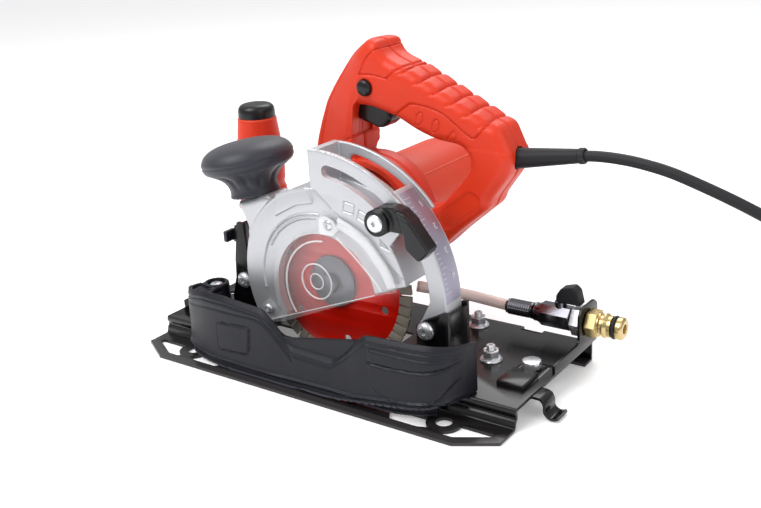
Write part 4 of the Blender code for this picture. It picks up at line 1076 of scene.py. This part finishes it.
def handle_relief(x, y, z, normal):
    """Grip scallops, collar lines, thumb panel with ovals and the button's ring, drawn on the outer faces."""
    side = ramp(np.abs(normal[:, 1]), 0.15, 0.5)
    depth = HANDLE_HALF - np.abs(y - HANDLE_Y)
    x, z = x + 0.76 * depth, z + 0.23 * depth
    top = Vector((54, 209.3))
    along = (Vector((113.2, 178.1)) - top).normalized()
    s = (x - top.x) * along.x + (z - top.y) * along.y
    t = (x - top.x) * along.y - (z - top.y) * along.x
    phase = (s + 0.77 * t - 1.2) / 13.2
    on_grip = ramp(s + 0.77 * t, -1, 1.5) * (1 - ramp(s + 0.77 * t, 66.5, 68)) * (z > 160)
    part = np.mod(phase, 1.0)
    lift = (1.9 * (1 - np.abs(2 * part - 1) ** 5) - 0.9 * part - 0.9) * on_grip * (1 - ramp(t, 8, 22))
    collar = spline([(4, 198.1), (9.4, 208), (18.4, 215.3), (34.8, 220)], 5)
    saddle = spline([(26.1, 196.6), (33.1, 202.4), (43.2, 206.5), (54, 209.7)], 5)
    link = [(4.1, 198.5), (13.8, 198.6), (26.1, 196.6)]
    panel = spline([
        (31.8, 172.9), (40.6, 179.6), (46.1, 181.4), (58.9, 179.6), (69.3, 175.9), (85.5, 164.6),
        (90.5, 162.8), (93.6, 164.9), (99.8, 171.2), (113.2, 178.1),
    ], 4)
    for path in (collar, saddle, link):
        lift -= 1.1 * line(x, z, path, 0.5) * (z > 190)
    lift -= 1.1 * line(x, z, panel, 0.6) * side
    lift -= 1.4 * np.exp(-((depth - HANDLE_HALF) / 0.8) ** 2)
    joint = np.exp(-((HANDLE_Y - y - 3.6) / 0.6) ** 2) * (x < np.interp(z, *LEG_EDGE) + 26)
    lift -= 1.2 * joint * ramp(z, 128, 136) * (z < 218)
    below = inside(x, z, panel + [(120, 150), (30, 150)])
    lift -= 0.5 * below * side * (z > 155)
    for spot in ((49.9, 171.6), (62.1, 168), (74.5, 160.9)):
        oval = [(spot[0] + 2.6 * math.cos(a) + 1.4 * math.sin(a), spot[1] + 4.4 * math.sin(a))
                for a in np.linspace(0, 2 * math.pi, 17)]
        lift -= 0.9 * line(x, z, oval, 0.45) * side
    lift += 0.5 * line(x, z, circle(LOCK_BUTTON, 7.2, 32), 1.2, True) * side * (y < HANDLE_Y)
    foot = rounded([(62, 103), (70, 98), (94, 116), (95, 124), (87, 129), (64, 111)], 6)
    lift -= 0.7 * raised(x, z, foot, 1.0) * side
    lift -= 0.9 * line(x, z, [(-18.6, 149.2), (2.6, 157.5), (12.2, 160.3)], 0.7) * (x < 14)
    return lift


def d_handle():
    outer, opening = handle_loops()
    low, high = HANDLE_Y - HANDLE_HALF, HANDLE_Y + HANDLE_HALF
    whole = plate("handle", [outer, opening, circle(MOTOR_AXIS, MOTOR_R + 0.6, 96)], low, high, "XZ", 7.5, 8)
    whole = skinned(whole, 0.75, 4)
    leg_wedge(whole.data)
    whole = sculpt(whole, handle_relief)
    cord_axis = world(Matrix.Rotation(math.radians(-7.7), 3, "Y") @ TURNED_ALONG["X"], 97, HANDLE_Y, 146.3)
    slots = [
        box("slot", (-8, 24), (HANDLE_Y - 8.5, HANDLE_Y + 8.5), (155, 185.4), 0.2),
        turned("hole", [(0, 30), (7.5, 30), (7.5, -4), (0, -4)], steps=48, matrix=cord_axis),
        turned("button", [(0, low + 8), (5.7, low + 8), (5.7, low - 5), (0, low - 5)],
               (LOCK_BUTTON[0], 0, LOCK_BUTTON[1]), "Y", 48),
    ]
    whole = cut(whole, *slots)
    for name, node, ys in (
        ("handle_shell_near", "handle_near", (low - 8, HANDLE_Y - 0.22)),
        ("handle_shell_far", "handle_far", (HANDLE_Y + 0.22, high + 8)),
    ):
        half = linked(name, whole.data.copy())
        keep = box("keep", (-120, 180), ys, (40, 260), 0.01, 1)
        half = boolean(half, [keep], "INTERSECT")
        shown(half, "red_plastic", "head", "red_plastic", node, angle=50)
    bpy.data.objects.remove(whole, do_unlink=True)
    trigger = rounded([
        (-6.6, 166), (2, 163.6), (11, 160.6), (16, 161.4), (22, 166.6), (19, 179.8), (-6.6, 179.8),
    ], 2.4)
    shown(skinned(plate("trigger_key", [trigger], HANDLE_Y - 8, HANDLE_Y + 8, "XZ", 2.2, 5), 0.5, 2),
          "button_plastic", "trigger", "rubber", "trigger", angle=60)
    dome = np.linspace(0.1, math.pi / 2, 10)
    button = [(0, 4.0)] + [(5.3 * math.sin(a), 2.2 + 1.8 * math.cos(a)) for a in dome]
    button += [(5.3, -4.5), (0, -4.5)]
    matrix = world(TOWARDS_VIEWER, LOCK_BUTTON[0], low, LOCK_BUTTON[1])
    button = turned("lock_on_button", button, matrix=matrix)
    shown(button, "button_plastic", "lock_button", "rubber", "lock_button")
    boot = [(3.9, 63), (4.6, 62.8), (5.1, 62), (5.1, 59.4), (4.5, 58.8)]
    boot += [(4.5 + 0.052 * k, 58.8 - k) for k in range(0, 48, 3)]
    boot += [(7.3, 0), (3.9, 0), (3.9, 63)]
    shown(turned("cord_sleeve", boot, matrix=cord_axis), "rubber", "head", "rubber", "cord_boot", angle=40)
    path = [
        (99, 146.6), (128, 150.5), (158, 154.4), (169, 155.2), (180, 155), (193, 153.8), (211, 150.5),
        (229, 145), (247, 138.7), (264, 132), (277, 126.5),
    ]
    cord = tube("mains_cord", [(x, HANDLE_Y, z) for x, z in path], 3.4, 6, 5)
    shown(cord, "rubber", "head", "rubber", "power_cord", angle=50)


def auxiliary_grip():
    x, y = -112.0, 58.0
    arm = [(-36.5, 22, 92), (-50, 23, 90), (-68, 30, 86), (-92, 50, 80.5), (-103, 56, 79.5), (-112, 58, 79.5)]
    shown(tube("grip_bar", arm, 5.0, 8, 5), "steel", "head", "steel", "aux_arm")
    profile = [(0, 156), (13.8, 156), (14.6, 155.2)]
    for k in range(60):
        z = 154.5 - 65 * k / 59
        swell = np.interp(z, [89, 92, 104, 118, 136, 150, 155], [20.5, 19, 17.4, 17.8, 16.9, 15.2, 14.7])
        finger = 0.7 * max(0.0, math.cos(2 * math.pi * (z - 89) / 15.5)) if z < 132 else 0
        profile.append((float(swell) - finger, z))
    profile += [(20.6, 88), (20.4, 86.5), (0, 86.5)]
    grip = turned("grip_body", profile, (x, y, 0), "Z", 72)
    shown(grip, "red_plastic", "head", "red_plastic", "aux_grip", angle=60)
    cap = [(0, 166.4)] + spline([(6, 166.3), (10.4, 165.7), (12.8, 164), (13.8, 161.4), (14.1, 157.2)], 4)
    cap += [(14.1, 156.3), (0, 156.3)]
    shown(turned("grip_cap", cap, (x, y, 0), "Z", 72), "button_plastic", "head", "rubber", "aux_grip_cap")


# ---------------------------------------------------------------- stage


def stage():
    bpy.ops.mesh.primitive_plane_add(size=60)
    floor = bpy.context.object
    floor.name = "floor"
    floor.location = (0, 0, -0.0003)
    floor.data.materials.append(surface("floor", (0.90, 0.90, 0.91, 1), 0.55, grain=60, bump=0.01, vary=0.01))
    sheet = floor.data.materials[0].node_tree.nodes["Principled BSDF"]
    sheet.inputs["Emission Color"].default_value = (1.0, 1.0, 1.0, 1.0)
    sheet.inputs["Emission Strength"].default_value = 0.22
    sky = bpy.data.worlds.new("studio")
    bpy.context.scene.world = sky
    sky.use_nodes = True
    nodes, links = sky.node_tree.nodes, sky.node_tree.links
    way, split, level = (nodes.new("ShaderNode" + kind) for kind in ("TexCoord", "SeparateXYZ", "MapRange"))
    links.new(way.outputs["Generated"], split.inputs["Vector"])
    links.new(split.outputs["Z"], level.inputs["Value"])
    filled(level, {"From Min": 0.0, "From Max": 0.8, "To Min": 0.28, "To Max": 0.85})
    links.new(level.outputs["Result"], nodes["Background"].inputs["Strength"])
    nodes["Background"].inputs["Color"].default_value = (1.0, 1.0, 1.0, 1.0)
    middle = Vector((0, BLADE_Y * MM, 0.08))
    for name, azimuth, elevation, distance, size, watts in (
        ("key", -25, 52, 1.6, 1.0, 17),
        ("fill", 80, 28, 1.7, 1.1, 5),
        ("back", 200, 50, 1.7, 0.9, 10),
    ):
        light = bpy.data.lights.new(name, "AREA")
        light.size = size
        light.energy = watts
        lamp = linked(name, light)
        a, e = math.radians(azimuth), math.radians(elevation)
        away = Vector((math.sin(a) * math.cos(e), -math.cos(a) * math.cos(e), math.sin(e)))
        lamp.location = middle + away * distance
        lamp.rotation_mode = "QUATERNION"
        lamp.rotation_quaternion = away.to_track_quat("Z", "Y")


def camera():
    """Seen from the near right, slightly above, with a small roll."""
    azimuth, elevation, roll = math.radians(36.404), math.radians(20.018), math.radians(3.427)
    forward = Vector((
        -math.sin(azimuth) * math.cos(elevation), math.cos(azimuth) * math.cos(elevation),
        -math.sin(elevation),
    ))
    right = Vector((math.cos(azimuth), math.sin(azimuth), 0))
    down = forward.cross(right)
    right = right * math.cos(roll) + down * math.sin(roll)
    down = forward.cross(right)
    lens = bpy.data.cameras.new("view")
    lens.sensor_width = 36.0
    lens.lens = 47.873
    lens.clip_start = 0.01
    eye = linked("view", lens)
    columns = Matrix((right, -down, -forward)).transposed()
    eye.matrix_world = Matrix.Translation((0.40843, -0.46333, 0.31552)) @ columns.to_4x4()
    bpy.context.scene.camera = eye


base_plate()
splash_skirt()
brackets()
water_fitting()
depth_arm()
blade_guard()
guard_window()
front_knob()
disc()
motor_housing()
d_handle()
auxiliary_grip()
stage()
camera()
bpy.context.scene.view_settings.view_transform = "Standard"
